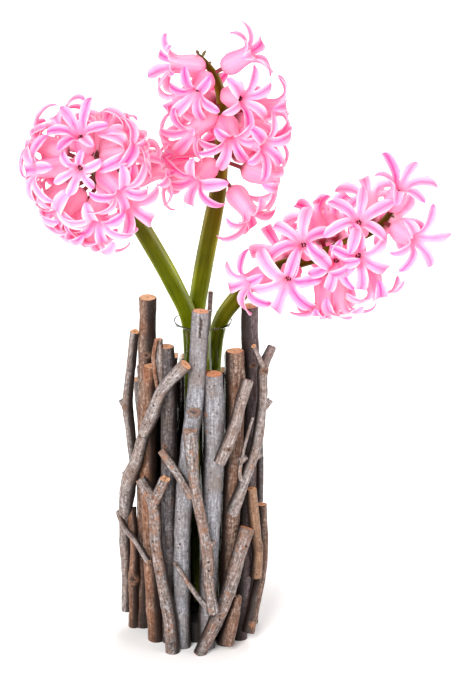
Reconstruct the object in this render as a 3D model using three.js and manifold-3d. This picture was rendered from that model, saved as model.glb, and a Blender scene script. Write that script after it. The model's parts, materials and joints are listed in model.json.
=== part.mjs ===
// Three cut hyacinths in a narrow glass tube vase that stands inside a ring of twigs.
// Millimetres, +Z up, the origin at the middle of the ring where it stands.
// -Y is the front, +X the right.
import * as THREE from 'three';
import { mergeVertices } from 'three/addons/utils/BufferGeometryUtils.js';
import Module from 'manifold-3d';

const wasm = await Module();
wasm.setup();

// Driving sizes
const CLEARANCE = 0.3;
const WELD = 1e-4;
const UPRIGHT_SIDES = 8;
const STICK_SIDES = 6;
const STEM_SIDES = 8;
const RACHIS_SIDES = 6;
const ROUND_SIDES = 24;
const TEPALS = 6;

// Rings a span along a swept path, and the rows past which a twig's path needs only one
const RINGS_A_SPAN = 2;
const LONG_PATH = 4;

// How near a path or a floret may come to an axis before another axis is its reference
const NEARLY_SIDEWAYS = 0.8;
const NEARLY_UPRIGHT = 0.95;

// Twigs run down past the ground and are cut level with it
const BELOW_GROUND = -4;

const DISC = { radius: 25.5, height: 12 };

const VASE = {
  x: 3.3,
  foot: DISC.height + CLEARANCE,
  footRadius: 13,
  bodyRadius: 14.5,
  neckRadius: 13.2,
  rimRadius: 16,
  wall: 1.3,
  floor: 3,
  shoulder: 157,
  neck: 168,
  rim: 183.5,
  bevel: 1.5,
  lip: 0.6,
};

const WATER_LEVEL = 132;

// A twig is a run of rows: turn in degrees from the front and positive to the right,
// distance from the middle of the ring, height, and the twig's own radius there.
const FRONT_UPRIGHTS = [
  [[-72, 28, 199, 4.9], [-79, 28, 155, 4.9], [-86, 29.5, 64, 4.9], [-86, 31, -4, 5]],
  [[-57, 30, 162, 4.4], [-62, 30.5, 112, 4.6], [-55, 31, 47, 4.7], [-48, 31, -4, 4.8]],
  [[-35, 28.5, 176, 4.4], [-33, 28.5, 145, 4.4], [-34, 28, 74, 4.4], [-34, 28, -4, 4.4]],
  [[5, 28, 198, 5], [-1, 29, 150, 5], [-11, 29.5, 106, 5], [-16, 30, 64, 4.8], [-16, 30.5, -4, 4.7]],
  [[18, 29.5, 162, 5.6], [19, 29.5, 129, 5.8], [17, 29.5, 98, 5.6], [13, 30, 52, 5.2], [9, 30.5, -4, 5]],
  [[47, 28.5, 172, 5.4], [46, 29, 132, 5.2], [39, 29.5, 74, 5], [31, 30, -4, 5]],
  [[74, 30, 194, 4.9], [76, 30, 155, 4.9], [62, 30, 70, 4.6], [51, 30, -4, 4.5]],
];

// Crossing and curved twigs that lie over the uprights
const OUTER_TWIGS = [
  [
    [-77, 35, 179, 2.4], [-88, 36, 160, 2.7], [-90, 38.5, 134, 3.1], [-89, 37, 117, 2.8],
    [-88, 35.5, 99, 2.5],
  ],
  [[-88, 37, 72, 2.6], [-76, 36.5, 53, 2.5], [-80, 36.5, 28, 3], [-85, 36.5, -4, 3.1]],
  [
    [-9, 38, 171, 3.6], [-29, 38, 155, 3.6], [-38, 38.5, 140, 3.6], [-48, 38.5, 127, 3.5],
    [-57, 39, 110, 3.5], [-70, 39, 97, 3.6], [-84, 39.5, 82, 3.4], [-89, 41, 55, 3],
    [-89, 40.5, 37, 2.8], [-89, 40.5, 9, 2.8],
  ],
  [[-37, 36, 182, 1.2], [-40, 36, 173, 1.2], [-39, 36, 164, 1.2], [-35, 36, 152, 1.3]],
  [[-39, 32.5, 181, 2.2], [-38, 32.5, 170, 2], [-36, 33, 155, 1.6]],
  [[-89, 44.5, 69, 1.6], [-78, 42, 64, 1.8], [-54, 41.5, 61, 1.8], [-41, 41.5, 53, 1.8]],
  [[46, 38.5, 158, 3.3], [39, 38.5, 147, 3.4], [30, 38.5, 130, 3.5], [19, 38.5, 114, 3.5]],
  [[44, 39.5, 71, 4.3], [35, 39.5, 56, 4.2], [26, 39, 36, 4.2], [15, 39, 19, 4.1], [2, 39, 0, 4]],
  [[53, 37.5, 92, 3.1], [57, 38, 67, 3.3], [61, 38, 53, 3.4], [59, 38, 38, 3.3]],
  [[73, 36, 116, 2], [75, 36, 98, 2.1], [74, 36, 80, 2.1]],
  [[83, 36, 75, 3.2], [82, 36.5, 42, 3.3], [61, 37, 23, 3.4], [50, 37, 6, 3.5]],
  [[37, 37, 30, 2.5], [31, 37.5, 17, 4], [25, 38, 4, 4.2]],
];

// Each forked twig is a main stick and the branches that grow from it
const FORKED_TWIGS = [
  [
    [[-53, 38.5, 98, 3.2], [-39, 38.5, 88, 3.6], [-35, 39, 62, 3.5], [-29, 39, 41, 3.6],
      [-23, 39, 20, 4], [-20, 39.5, -4, 4.2]],
    [[-27, 38.5, 103, 3], [-39, 38.5, 86, 3.2]],
  ],
  [
    [[-5, 38.5, 133, 4.3], [-3, 38.5, 111, 3.2], [-1, 38.5, 98, 3.2], [5, 40, 76, 3.1],
      [8, 41.5, 60, 3.2], [9, 43.5, 42, 3.4], [11, 46, 28, 3.5]],
    [[-30, 38, 119, 2.2], [-17, 38, 108, 2.4], [-4, 38.5, 94, 2.6]],
    [[-18, 39, 54, 1.2], [-7, 40, 43, 1.4], [3, 43, 34, 1.8], [10, 45.5, 29, 2.2]],
  ],
  [
    [[86, 41, 168, 2.6], [69, 39, 161, 2.9], [68, 38.5, 140, 3], [56, 38.5, 115, 3.1],
      [46, 37.8, 103, 3.3], [39, 37.8, 94, 3.4], [30, 37.8, 82, 3.6]],
    [[54, 38.5, 176, 1.4], [68, 39, 161, 1.8]],
    [[54, 37.5, 134, 1], [43, 38, 119, 1], [38, 38, 104, 1.4], [43, 38.5, 97, 1.8]],
  ],
];

// The far side of the ring, which no list follows: uprights side by side, and a few sticks across
const BACK = {
  seed: 41,
  uprights: 10,
  firstTurn: 96,
  lastTurn: 256,
  distance: 29.5,
  wander: [-2, 2],
  tops: [138, 157],
  radii: [4.4, 5.1],
  thinStick: [[168, 35.5, 187, 1.3], [171, 35.5, 150, 1.6], [173, 35.5, 105, 1.9]],
  crossing: [
    { turn: 134, sweep: 20, low: 52, high: 128, radius: 3.3 },
    { turn: 158, sweep: -26, low: 20, high: 112, radius: 3.4 },
    { turn: 190, sweep: 24, low: 62, high: 146, radius: 3.2 },
    { turn: 222, sweep: -22, low: 10, high: 92, radius: 3.6 },
    { turn: 236, sweep: 16, low: 84, high: 142, radius: 2.9 },
  ],
  outerDistance: 37,
};

// Stems from their cut ends on the vase's floor to the foot of the flower head: x, y, z, radius
const STEMS = {
  left: [
    [-2.6, -2.6, 16, 4.3], [-2.7, -2.6, 90, 4.3], [-2.9, -2.5, 165, 4.3], [-4.4, -3, 185, 4.7],
    [-13, -6, 207, 5.1], [-24, -13, 231, 5.1], [-36, -24, 256, 4.9],
  ],
  centre: [
    [3.3, 6.2, 16, 4.4], [1.6, 6.2, 90, 4.4], [-0.1, 6.2, 165, 4.4], [-0.3, 6.2, 185, 4.8],
    [3.2, 6, 210, 5.2], [8.5, 4, 239, 5.1],
  ],
  right: [
    [9.2, -2.5, 16, 4.2], [9.3, -2.5, 90, 4.2], [9.5, -2.3, 166, 4.2], [13.2, -2.8, 184, 4.3],
    [20.6, -4, 196, 4.7], [29.5, -7, 207, 4.6],
  ],
};

// The stem inside each head, foot to tip, with its radius
const RACHISES = {
  left: [[-36, -24, 256, 4.6], [-43, -34, 269, 4], [-50, -50, 283, 3.2], [-55, -66, 297, 2]],
  centre: [[8.5, 4, 239, 4.9], [12, 1.6, 260, 4.6], [14, -3, 293, 3.5], [14, -5, 308, 3],
    [10.5, -7, 323, 2.4], [2, -9, 336, 1.2]],
  right: [[29.5, -7, 207, 4.4], [45, -10, 217, 4], [68, -14, 226, 3.4], [87, -18, 237, 2.7],
    [98, -20, 244, 2.2], [107, -22, 257, 1.4]],
};

// A floret: where it leaves the stem in the head (mm from the head's foot), its turn round
// that stem, its lean away from the stem's tip, the length out to its mouth, its roll, how
// far out its tepals reach and how high their tips rise past the mouth
const FLORETS = {
  left: [
    [61, 166, 9, 24, 40, 18, 4], [61, -4, 40, 23, 50, 18, 2], [59, 39, 85, 27, 20, 20, -3],
    [56, 110, 68, 25, 0, 20, -4], [56, 85, 65, 25, 35, 20, -5], [53, -110, 67, 32, 15, 21, -2],
    [53, -75, 60, 31, 50, 20, -5], [40, -65, 84, 34, 5, 20, -5], [40, -38, 76, 31, 25, 20, -3],
    [36, -38, 102, 32, 40, 21, -5], [36, 0, 76, 30, 10, 20, -3], [29, -28, 115, 32, 30, 22, -3],
    [26, 39, 67, 27, 55, 20, -5], [40, 175, 87, 28, 20, 20, -2], [49, -142, 62, 30, 0, 20, -3],
    [24, 105, 100, 27, 45, 20, -5], [33, 140, 105, 27, 30, 20, -4], [40, -100, 80, 27, 15, 20, -4],
    [36, -165, 75, 27, 40, 20, -4],
  ],
  centre: [
    [88, 81, 84, 24, 33, 18.5, 3], [92, -60, 43, 21, 16, 17, 5], [90, -25, 87, 23, 12, 18, 1],
    [76, 37, 86, 22, 48, 19, 3], [65, 92, 85, 31, 10, 20, -3], [66, 12, 110, 23, 35, 20, 3],
    [57, 46, 91, 31, 45, 19.5, 1], [71, -45, 110, 25, 17, 19.5, 3], [40, -34, 106, 25, 42, 21, 0],
    [29, 48, 122, 28, 28, 23, -2], [37, 86, 107, 30, 30, 21, -4], [34, -88, 105, 29, 28, 20, -4],
    [63, 132, 112, 27, 50, 20, -4], [85, -104, 105, 27, 25, 19, -3], [48, -91, 104, 28, 5, 20, -4],
  ],
  right: [
    [66, -53, 64, 26, 51, 21, 1], [88, -36, 27, 23, 16, 19.5, 4], [83, 32, 68, 26, 36, 21.5, 3],
    [39, -64, 86, 25, 0, 20, -4], [57, -18, 93, 25, 54, 18, 2], [28, -22, 94, 25, 43, 21, -5],
    [19, -34, 130, 24, 55, 19, -2], [46, 48, 115, 29, 15, 19.5, 3], [67, 53, 98, 31, 35, 20, -4],
    [46, -166, 96, 26, 15, 20, -2], [74, -167, 83, 25, 45, 20, -3], [61, -9, 72, 26, 5, 19, -3],
    [53, 56, 115, 31, 25, 20, -4], [79, 151, 88, 26, 40, 20, -3], [26, 160, 112, 25, 30, 20, -3],
  ],
};

// Florets on the side of each head that faces away, placed by turning on by the golden angle
const FAR_FLORETS = {
  centre: { seed: 7, count: 3, from: 30, to: 78, turn: 180, spread: 45 },
  right: { seed: 11, count: 2, from: 18, to: 66, turn: 190, spread: 40 },
};
const FAR_RANGES = {
  lean: [95, 110], length: [25, 28], roll: [0, 60], reach: [19, 21], rise: [-5, -2],
};
const GOLDEN_ANGLE = 137.5;

// Radii of a floret's tube, and how far below its mouth each ring lies
const FLORET = {
  pedicelRadius: 1.5,
  pedicelEnd: 19,
  bulbRadius: 6.2,
  bulbAt: 13,
  mouthOuter: 5.3,
  mouthCorner: 4.9,
  mouthInner: 4.2,
  recess: 6,
};

// A tepal's one section lies part of the way to its tip: further along, and lower, the lower
// the tip. Its tip closes it.
const TEPAL = {
  halfWidth: 3.5,
  sectionAt: 0.47,
  sectionShift: 0.015,
  sectionUp: 3.4,
  upShare: 0.33,
  ridge: 0.45,
  keel: 0.6,
  edgeLift: 0.5,
};

const COLOURS = {
  bark: 0x8b8785,
  brownBark: 0x8a7566,
  wood: 0xc49a6c,
  glass: 0xe8f0ee,
  water: 0xdfeee8,
  stem: 0x6d7a1c,
  petal: 0xf58fc0,
};

const barkMaterial = new THREE.MeshStandardMaterial({ color: COLOURS.bark, roughness: 0.9, metalness: 0 });
const brownBarkMaterial = new THREE.MeshStandardMaterial({
  color: COLOURS.brownBark, roughness: 0.9, metalness: 0,
});
const woodMaterial = new THREE.MeshStandardMaterial({ color: COLOURS.wood, roughness: 0.8, metalness: 0 });
const glassMaterial = new THREE.MeshStandardMaterial({
  color: COLOURS.glass, roughness: 0.05, metalness: 0, transparent: true, opacity: 0.35,
});
const waterMaterial = new THREE.MeshStandardMaterial({
  color: COLOURS.water, roughness: 0.02, metalness: 0, transparent: true, opacity: 0.5,
});
const stemMaterial = new THREE.MeshStandardMaterial({ color: COLOURS.stem, roughness: 0.45, metalness: 0 });
const petalMaterial = new THREE.MeshStandardMaterial({ color: COLOURS.petal, roughness: 0.5, metalness: 0 });

const radians = THREE.MathUtils.degToRad;

// Park and Miller's seeded draws, so the far side is the same on every run
const DRAW_FACTOR = 16807;
const DRAW_MODULUS = 2147483647;
function seededRandom(seed) {
  let state = seed;
  return () => {
    state = (state * DRAW_FACTOR) % DRAW_MODULUS;
    return state / DRAW_MODULUS;
  };
}

const drawn = ([low, high], random) => THREE.MathUtils.lerp(low, high, random());

// Solids to and from geometry
function toSolid(geometry) {
  geometry.deleteAttribute('normal');
  geometry.deleteAttribute('uv');
  const merged = mergeVertices(geometry, WELD);
  return new wasm.Manifold(new wasm.Mesh({
    numProp: 3,
    vertProperties: new Float32Array(merged.attributes.position.array),
    triVerts: new Uint32Array(merged.index.array),
  }));
}

function toGeometry(solid) {
  const mesh = solid.getMesh();
  const geometry = new THREE.BufferGeometry();
  geometry.setAttribute('position', new THREE.BufferAttribute(mesh.vertProperties, 3));
  geometry.setIndex(new THREE.BufferAttribute(mesh.triVerts, 1));
  geometry.computeVertexNormals();
  return geometry;
}

function largestPiece(solid) {
  const pieces = solid.decompose();
  return pieces.reduce((best, piece) => (piece.volume() > best.volume() ? piece : best));
}

const group = new THREE.Group();

function addNode(name, solid, material) {
  const mesh = new THREE.Mesh(toGeometry(solid), material);
  mesh.name = name;
  group.add(mesh);
}

// A closed tube through points with a radius at each, its rings carried along without twist
function sweptSolid(points, radii, sides, ringsASpan, grow = 0) {
  const curve = new THREE.CatmullRomCurve3(points, false, 'centripetal');
  const spans = points.length - 1;
  const steps = spans * ringsASpan;
  const positions = [];
  const faces = [];
  let side = null;
  for (let step = 0; step <= steps; step += 1) {
    const along = step / steps;
    const centre = curve.getPoint(along);
    const tangent = curve.getTangent(along).normalize();
    if (step === 0) centre.addScaledVector(tangent, -grow);
    if (step === steps) centre.addScaledVector(tangent, grow);
    if (side === null) {
      const sideways = Math.abs(tangent.x) > NEARLY_SIDEWAYS;
      side = sideways ? new THREE.Vector3(0, 1, 0) : new THREE.Vector3(1, 0, 0);
    }
    side.addScaledVector(tangent, -side.dot(tangent)).normalize();
    const other = new THREE.Vector3().crossVectors(tangent, side);
    const span = Math.min(Math.floor(along * spans), spans - 1);
    const radius = THREE.MathUtils.lerp(radii[span], radii[span + 1], along * spans - span) + grow;
    for (let k = 0; k < sides; k += 1) {
      const angle = (2 * Math.PI * k) / sides;
      const rim = centre.clone();
      rim.addScaledVector(side, radius * Math.cos(angle));
      rim.addScaledVector(other, radius * Math.sin(angle));
      positions.push(rim.x, rim.y, rim.z);
    }
  }
  for (let step = 0; step < steps; step += 1) {
    for (let k = 0; k < sides; k += 1) {
      const next = (k + 1) % sides;
      const a = step * sides + k;
      const b = step * sides + next;
      faces.push(a, b, b + sides, a, b + sides, a + sides);
    }
  }
  const last = steps * sides;
  for (let k = 1; k < sides - 1; k += 1) {
    faces.push(0, k + 1, k);
    faces.push(last, last + k, last + k + 1);
  }
  const geometry = new THREE.BufferGeometry();
  geometry.setAttribute('position', new THREE.Float32BufferAttribute(positions, 3));
  geometry.setIndex(faces);
  return toSolid(geometry);
}

// Twigs
function ringPoint([turn, distance, height]) {
  const angle = radians(turn);
  return new THREE.Vector3(distance * Math.sin(angle), -distance * Math.cos(angle), height);
}

function twigStick(rows, sides, grow) {
  const ringsASpan = rows.length > LONG_PATH ? 1 : RINGS_A_SPAN;
  return sweptSolid(rows.map(ringPoint), rows.map((row) => row[3]), sides, ringsASpan, grow);
}

function twigSolid(sticks, sides, grow = 0) {
  const joined = wasm.Manifold.union(sticks.map((rows) => twigStick(rows, sides, grow)));
  return joined.trimByPlane([0, 0, 1], 0);
}

function backUprights() {
  const random = seededRandom(BACK.seed);
  const rows = [];
  for (let i = 0; i < BACK.uprights; i += 1) {
    const turn = THREE.MathUtils.lerp(BACK.firstTurn, BACK.lastTurn, i / (BACK.uprights - 1));
    const top = drawn(BACK.tops, random);
    const radius = drawn(BACK.radii, random);
    const lean = drawn(BACK.wander, random);
    rows.push([
      [turn + lean, BACK.distance, top, radius],
      [turn, BACK.distance, top / 2, radius],
      [turn - lean, BACK.distance, BELOW_GROUND, radius],
    ]);
  }
  return rows;
}

function backCrossing({ turn, sweep, low, high, radius }) {
  const middle = (low + high) / 2;
  return [
    [turn + sweep / 2, BACK.outerDistance, high, radius],
    [turn, BACK.outerDistance, middle, radius],
    [turn - sweep / 2, BACK.outerDistance, low, radius],
  ];
}

const twigs = [];
function nameTwigs(kind, runs, sides, material) {
  runs.forEach((sticks, i) => {
    twigs.push({ name: `${kind}_${String(i + 1).padStart(2, '0')}`, sticks, sides, material });
  });
}
const single = (runs) => runs.map((rows) => [rows]);
const backSticks = [BACK.thinStick, ...BACK.crossing.map(backCrossing)];
nameTwigs('upright_twig', single([...FRONT_UPRIGHTS, ...backUprights()]), UPRIGHT_SIDES, barkMaterial);
nameTwigs('outer_twig', single(OUTER_TWIGS), STICK_SIDES, brownBarkMaterial);
nameTwigs('forked_twig', FORKED_TWIGS, STICK_SIDES, barkMaterial);
nameTwigs('back_twig', single(backSticks), STICK_SIDES, brownBarkMaterial);

// Each twig gives way to the ones already in place, as bark pressed on bark
const standing = [];
twigs.forEach(({ name, sticks, sides, material }) => {
  let solid = twigSolid(sticks, sides);
  standing.forEach((grown) => {
    solid = solid.subtract(grown);
  });
  solid = largestPiece(solid);
  addNode(name, solid, material);
  standing.push(twigSolid(sticks, sides, CLEARANCE));
});

// The wooden disc that carries the vase, with the uprights fixed round it
function discSolid() {
  const disc = new THREE.CylinderGeometry(DISC.radius, DISC.radius, DISC.height, ROUND_SIDES);
  disc.rotateX(Math.PI / 2);
  disc.translate(0, 0, DISC.height / 2);
  let solid = toSolid(disc);
  standing.forEach((grown) => {
    solid = solid.subtract(grown);
  });
  return largestPiece(solid);
}
addNode('base_disc', discSolid(), woodMaterial);

// The glass tube with its flared rim
function turned(profile, sides) {
  const points = profile.map(([radius, height]) => new THREE.Vector2(radius, height));
  const geometry = new THREE.LatheGeometry(points, sides);
  geometry.rotateX(Math.PI / 2);
  return geometry;
}

function vaseSolid() {
  const inner = VASE.bodyRadius - VASE.wall;
  const floor = VASE.foot + VASE.floor;
  const profile = [
    [0, VASE.foot],
    [VASE.footRadius, VASE.foot],
    [VASE.bodyRadius, VASE.foot + VASE.bevel],
    [VASE.bodyRadius, VASE.shoulder],
    [VASE.neckRadius, VASE.neck],
    [VASE.rimRadius, VASE.rim - VASE.lip],
    [VASE.rimRadius - VASE.wall / 2, VASE.rim],
    [VASE.rimRadius - VASE.wall, VASE.rim - VASE.lip],
    [VASE.neckRadius - VASE.wall, VASE.neck],
    [inner, VASE.shoulder],
    [inner, floor],
    [0, floor],
  ];
  const geometry = turned(profile, ROUND_SIDES);
  geometry.translate(VASE.x, 0, 0);
  return toSolid(geometry);
}
addNode('glass_vase', vaseSolid(), glassMaterial);

// Stems and heads
const rowPoint = ([x, y, z]) => new THREE.Vector3(x, y, z);

function pathSolid(rows, sides, grow = 0) {
  return sweptSolid(rows.map(rowPoint), rows.map((row) => row[3]), sides, RINGS_A_SPAN, grow);
}

function waterSolid() {
  const radius = VASE.bodyRadius - VASE.wall - CLEARANCE;
  const bottom = VASE.foot + VASE.floor + CLEARANCE;
  const profile = [[0, bottom], [radius, bottom], [radius, WATER_LEVEL], [0, WATER_LEVEL]];
  const geometry = turned(profile, ROUND_SIDES);
  geometry.translate(VASE.x, 0, 0);
  let solid = toSolid(geometry);
  Object.values(STEMS).forEach((rows) => {
    solid = solid.subtract(pathSolid(rows, STEM_SIDES, CLEARANCE));
  });
  return largestPiece(solid);
}
addNode('water', waterSolid(), waterMaterial);

// A floret along +Z, closed: pedicel, bulb, hollowed mouth and six channelled tepals that bend
// out and back. Each tepal grows from one side of the mouth, so neighbours share only a corner.
function floretSolid(length, reach, rise, place) {
  const positions = [];
  const faces = [];
  // Adds a point and gives its number
  const put = (x, y, z) => positions.push(x, y, z) / 3 - 1;
  const putRound = (radius, turn, height) => put(radius * Math.cos(turn), radius * Math.sin(turn), height);
  const half = Math.PI / TEPALS;
  const turns = Array.from({ length: TEPALS }, (_, k) => 2 * half * k);
  const ring = (radius, height, shift = 0) => turns.map((turn) => putRound(radius, turn + shift, height));

  const foot = put(0, 0, 0);
  const pedicel = ring(FLORET.pedicelRadius, length - FLORET.pedicelEnd);
  const bulb = ring(FLORET.bulbRadius, length - FLORET.bulbAt);
  const outer = ring(FLORET.mouthOuter, length);
  const corner = ring(FLORET.mouthCorner, length, -half);
  const inner = ring(FLORET.mouthInner, length + TEPAL.ridge);
  const throat = put(0, 0, length - FLORET.recess);
  const share = TEPAL.sectionAt - TEPAL.sectionShift * rise;
  const out = THREE.MathUtils.lerp(FLORET.mouthCorner, reach, share);
  const up = TEPAL.sectionUp + TEPAL.upShare * rise;
  const run = new THREE.Vector2(reach - out, rise - up).normalize();
  const tepalSection = (turn) => {
    const at = (sideways, lift) => {
      const along = out - run.y * lift;
      const x = along * Math.cos(turn) - sideways * Math.sin(turn);
      const y = along * Math.sin(turn) + sideways * Math.cos(turn);
      return put(x, y, length + up + run.x * lift);
    };
    return [
      at(-TEPAL.halfWidth, TEPAL.edgeLift),
      at(0, -TEPAL.keel),
      at(TEPAL.halfWidth, TEPAL.edgeLift),
      at(0, TEPAL.ridge),
    ];
  };

  turns.forEach((turn, k) => {
    const n = (k + 1) % TEPALS;
    faces.push(foot, pedicel[n], pedicel[k]);
    faces.push(pedicel[k], pedicel[n], bulb[n], pedicel[k], bulb[n], bulb[k]);
    faces.push(bulb[k], bulb[n], corner[n], bulb[k], corner[n], outer[k], bulb[k], outer[k], corner[k]);
    faces.push(corner[k], inner[k], throat, inner[k], corner[n], throat);
    const root = [corner[k], outer[k], corner[n], inner[k]];
    const section = tepalSection(turn);
    const tip = putRound(reach, turn, length + rise);
    root.forEach((a, j) => {
      const b = (j + 1) % 4;
      faces.push(a, root[b], section[b], a, section[b], section[j]);
      faces.push(section[j], section[b], tip);
    });
  });
  const geometry = new THREE.BufferGeometry();
  geometry.setAttribute('position', new THREE.Float32BufferAttribute(positions, 3));
  geometry.setIndex(faces);
  return toSolid(geometry.applyMatrix4(place));
}

// The frame at a point along a head's stem: its tip direction, its front and its right
function rachisFrame(curve, distance) {
  const along = THREE.MathUtils.clamp(distance / curve.getLength(), 0, 1);
  const tip = curve.getTangentAt(along).normalize();
  const back = new THREE.Vector3().crossVectors(tip, new THREE.Vector3(1, 0, 0)).normalize();
  const right = new THREE.Vector3().crossVectors(back, tip).normalize();
  return { point: curve.getPointAt(along), tip, front: back.negate(), right };
}

function floretPlace(curve, distance, turn, lean, roll) {
  const { point, tip, front, right } = rachisFrame(curve, distance);
  const facing = tip.clone().multiplyScalar(Math.cos(radians(lean)));
  facing.addScaledVector(front, Math.sin(radians(lean)) * Math.cos(radians(turn)));
  facing.addScaledVector(right, Math.sin(radians(lean)) * Math.sin(radians(turn)));
  facing.normalize();
  const up = Math.abs(facing.z) > NEARLY_UPRIGHT ? new THREE.Vector3(0, 1, 0) : new THREE.Vector3(0, 0, 1);
  up.addScaledVector(facing, -up.dot(facing)).normalize();
  const first = up.applyAxisAngle(facing, radians(roll));
  const second = new THREE.Vector3().crossVectors(facing, first);
  return new THREE.Matrix4().makeBasis(first, second, facing).setPosition(point);
}

function farFlorets({ seed, count, from, to, turn, spread }) {
  const random = seededRandom(seed);
  const rows = [];
  for (let i = 0; i < count; i += 1) {
    const distance = THREE.MathUtils.lerp(from, to, (i + 0.5) / count);
    const swing = (((i * GOLDEN_ANGLE) % 360) / 360 - 0.5) * 2 * spread;
    rows.push([
      distance,
      turn + swing,
      drawn(FAR_RANGES.lean, random),
      drawn(FAR_RANGES.length, random),
      drawn(FAR_RANGES.roll, random),
      drawn(FAR_RANGES.reach, random),
      drawn(FAR_RANGES.rise, random),
    ]);
  }
  return rows;
}

function headSolid(side) {
  const rows = RACHISES[side];
  const curve = new THREE.CatmullRomCurve3(rows.map(rowPoint), false, 'centripetal');
  const stem = pathSolid(rows, RACHIS_SIDES).subtract(pathSolid(STEMS[side], STEM_SIDES, CLEARANCE));
  const solids = [stem];
  const far = FAR_FLORETS[side] ? farFlorets(FAR_FLORETS[side]) : [];
  [...FLORETS[side], ...far].forEach((row) => {
    const [distance, turn, lean, length, roll, reach, rise] = row;
    const place = floretPlace(curve, distance, turn, lean, roll);
    solids.push(floretSolid(length, reach, rise, place));
  });
  return largestPiece(wasm.Manifold.union(solids));
}

Object.keys(STEMS).forEach((side) => {
  addNode(`${side}_stem`, pathSolid(STEMS[side], STEM_SIDES), stemMaterial);
  addNode(`${side}_flower_head`, headSolid(side), petalMaterial);
});

export default group;
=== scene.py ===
"""Three cut hyacinths in a glass tube vase inside a ring of twigs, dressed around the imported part.

Millimetres in the tables, metres in Blender. +Z is up, -Y the front, +X the right.
"""
import json
import math
from functools import partial

import bmesh
import bpy
import numpy as np
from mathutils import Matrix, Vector

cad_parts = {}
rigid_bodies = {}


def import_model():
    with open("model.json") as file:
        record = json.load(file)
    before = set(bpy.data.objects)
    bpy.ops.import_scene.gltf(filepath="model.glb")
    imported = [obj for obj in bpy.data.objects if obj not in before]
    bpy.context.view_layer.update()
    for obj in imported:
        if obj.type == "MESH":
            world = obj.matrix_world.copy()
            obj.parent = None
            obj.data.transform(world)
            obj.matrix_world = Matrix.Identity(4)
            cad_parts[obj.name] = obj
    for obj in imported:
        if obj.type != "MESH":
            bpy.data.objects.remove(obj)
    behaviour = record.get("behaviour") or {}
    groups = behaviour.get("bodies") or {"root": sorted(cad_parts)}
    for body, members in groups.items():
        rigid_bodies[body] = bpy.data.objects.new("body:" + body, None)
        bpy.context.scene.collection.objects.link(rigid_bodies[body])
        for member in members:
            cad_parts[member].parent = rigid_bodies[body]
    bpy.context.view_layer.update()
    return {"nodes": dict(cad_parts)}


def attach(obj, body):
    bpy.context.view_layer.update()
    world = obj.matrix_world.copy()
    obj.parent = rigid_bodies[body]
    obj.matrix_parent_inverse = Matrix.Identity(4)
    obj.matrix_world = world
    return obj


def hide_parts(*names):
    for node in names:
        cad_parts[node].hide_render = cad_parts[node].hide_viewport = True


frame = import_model()

MM = 0.001
TURN = 2 * math.pi

# The camera stands far off and looks a little down, as for a tall vase on a table
CAMERA_AIM = (18.15, 0.0, 171.0)
CAMERA_DISTANCE = 1800.0
CAMERA_PITCH = 20.3
SENSOR = 36.0
LENS = 172.8
FARTHEST_SEEN = 100.0


def place_camera():
    pitch = math.radians(CAMERA_PITCH)
    camera = bpy.data.objects.new("camera", bpy.data.cameras.new("camera"))
    camera.data.sensor_fit = "VERTICAL"
    camera.data.sensor_height = SENSOR
    camera.data.lens = LENS
    camera.data.clip_end = FARTHEST_SEEN
    back = Vector((0.0, -math.cos(pitch), math.sin(pitch))) * CAMERA_DISTANCE
    camera.location = (Vector(CAMERA_AIM) + back) * MM
    camera.rotation_euler = (math.radians(90.0) - pitch, 0.0, 0.0)
    bpy.context.scene.collection.objects.link(camera)
    bpy.context.scene.camera = camera


place_camera()

# Colour and nodes


def colour(code):
    """An sRGB hex code as linear red, green, blue and alpha."""
    parts = [int(code[i:i + 2], 16) / 255 for i in (1, 3, 5)]
    linear = [p / 12.92 if p <= 0.04045 else ((p + 0.055) / 1.055) ** 2.4 for p in parts]
    return (*linear, 1.0)


def add_node(tree, kind, settings=None, inputs=None, out=0, stops=None):
    """Adds a node with its settings, its inputs as values or links, and a ramp's stops.

    Gives one of its outputs, by number or name, or the node itself where out is None.
    """
    made = tree.nodes.new(f"ShaderNode{kind}")
    for key, value in (settings or {}).items():
        setattr(made, key, value)
    for key, value in (inputs or {}).items():
        if isinstance(value, bpy.types.NodeSocket):
            tree.links.new(value, made.inputs[key])
        else:
            made.inputs[key].default_value = value
    if stops:
        ramp = made.color_ramp.elements
        while len(ramp) < len(stops):
            ramp.new(1.0)
        for element, (position, code) in zip(ramp, stops):
            element.position = position
            element.color = colour(code)
    return made if out is None else made.outputs[out]


def make_material(name, finish, *tones):
    """A material whose shader is made by its finish, from a few tones."""
    material = bpy.data.materials.new(name)
    material.use_nodes = True
    tree = material.node_tree
    tree.nodes.clear()
    shader = finish(partial(add_node, tree), *tones)
    add_node(tree, "OutputMaterial", {}, {"Surface": shader}, None)
    return material


SMOOTH = {"interpolation_type": "SMOOTHSTEP"}
PLAIN = {"interpolation_type": "LINEAR"}
TIMES = {"operation": "MULTIPLY"}
TIMES_AND_PLUS = {"operation": "MULTIPLY_ADD"}
MINUS = {"operation": "SUBTRACT"}
LENGTH = {"operation": "LENGTH"}
# A colour mix, whose sockets are the share, the two colours and the result
MIX = {"data_type": "RGBA"}
SHARE, UNDER, OVER, MIXED = 0, 6, 7, 2

# Bark of dead twigs dried outdoors: a smooth skin with a satin sheen that has weathered grey,
# with faint cracks along the twig, dark pores, worn patches and orange rubbed flecks. Cracks
# are about 0.8 mm wide, pores 0.6 mm on a 3 mm spacing and patches 16 mm across. The flecks'
# 4 mm noise draws them about 2 mm across, coarser than real ones, so that they show.
# Besides these, a layer of painted shade darkens the sides turned in to the ring and the twigs' feet.
CRACK_WIDTH = 0.8 * MM
CRACK_STRETCH = 0.09
SPECK_SIZE = 1.6 * MM
PORE_SPACING = 3 * MM
PATCH_SIZE = 16 * MM
FLECK_SIZE = 4 * MM
KNOT_TONES = [(0.64, "#1C110C"), (0.75, "#563526"), (0.87, "#7A5844"), (0.97, "#4A362B")]
# A mark counts as a little narrower and lower than its size
MARK_SQUEEZE = (0.8, 1.1)


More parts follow.
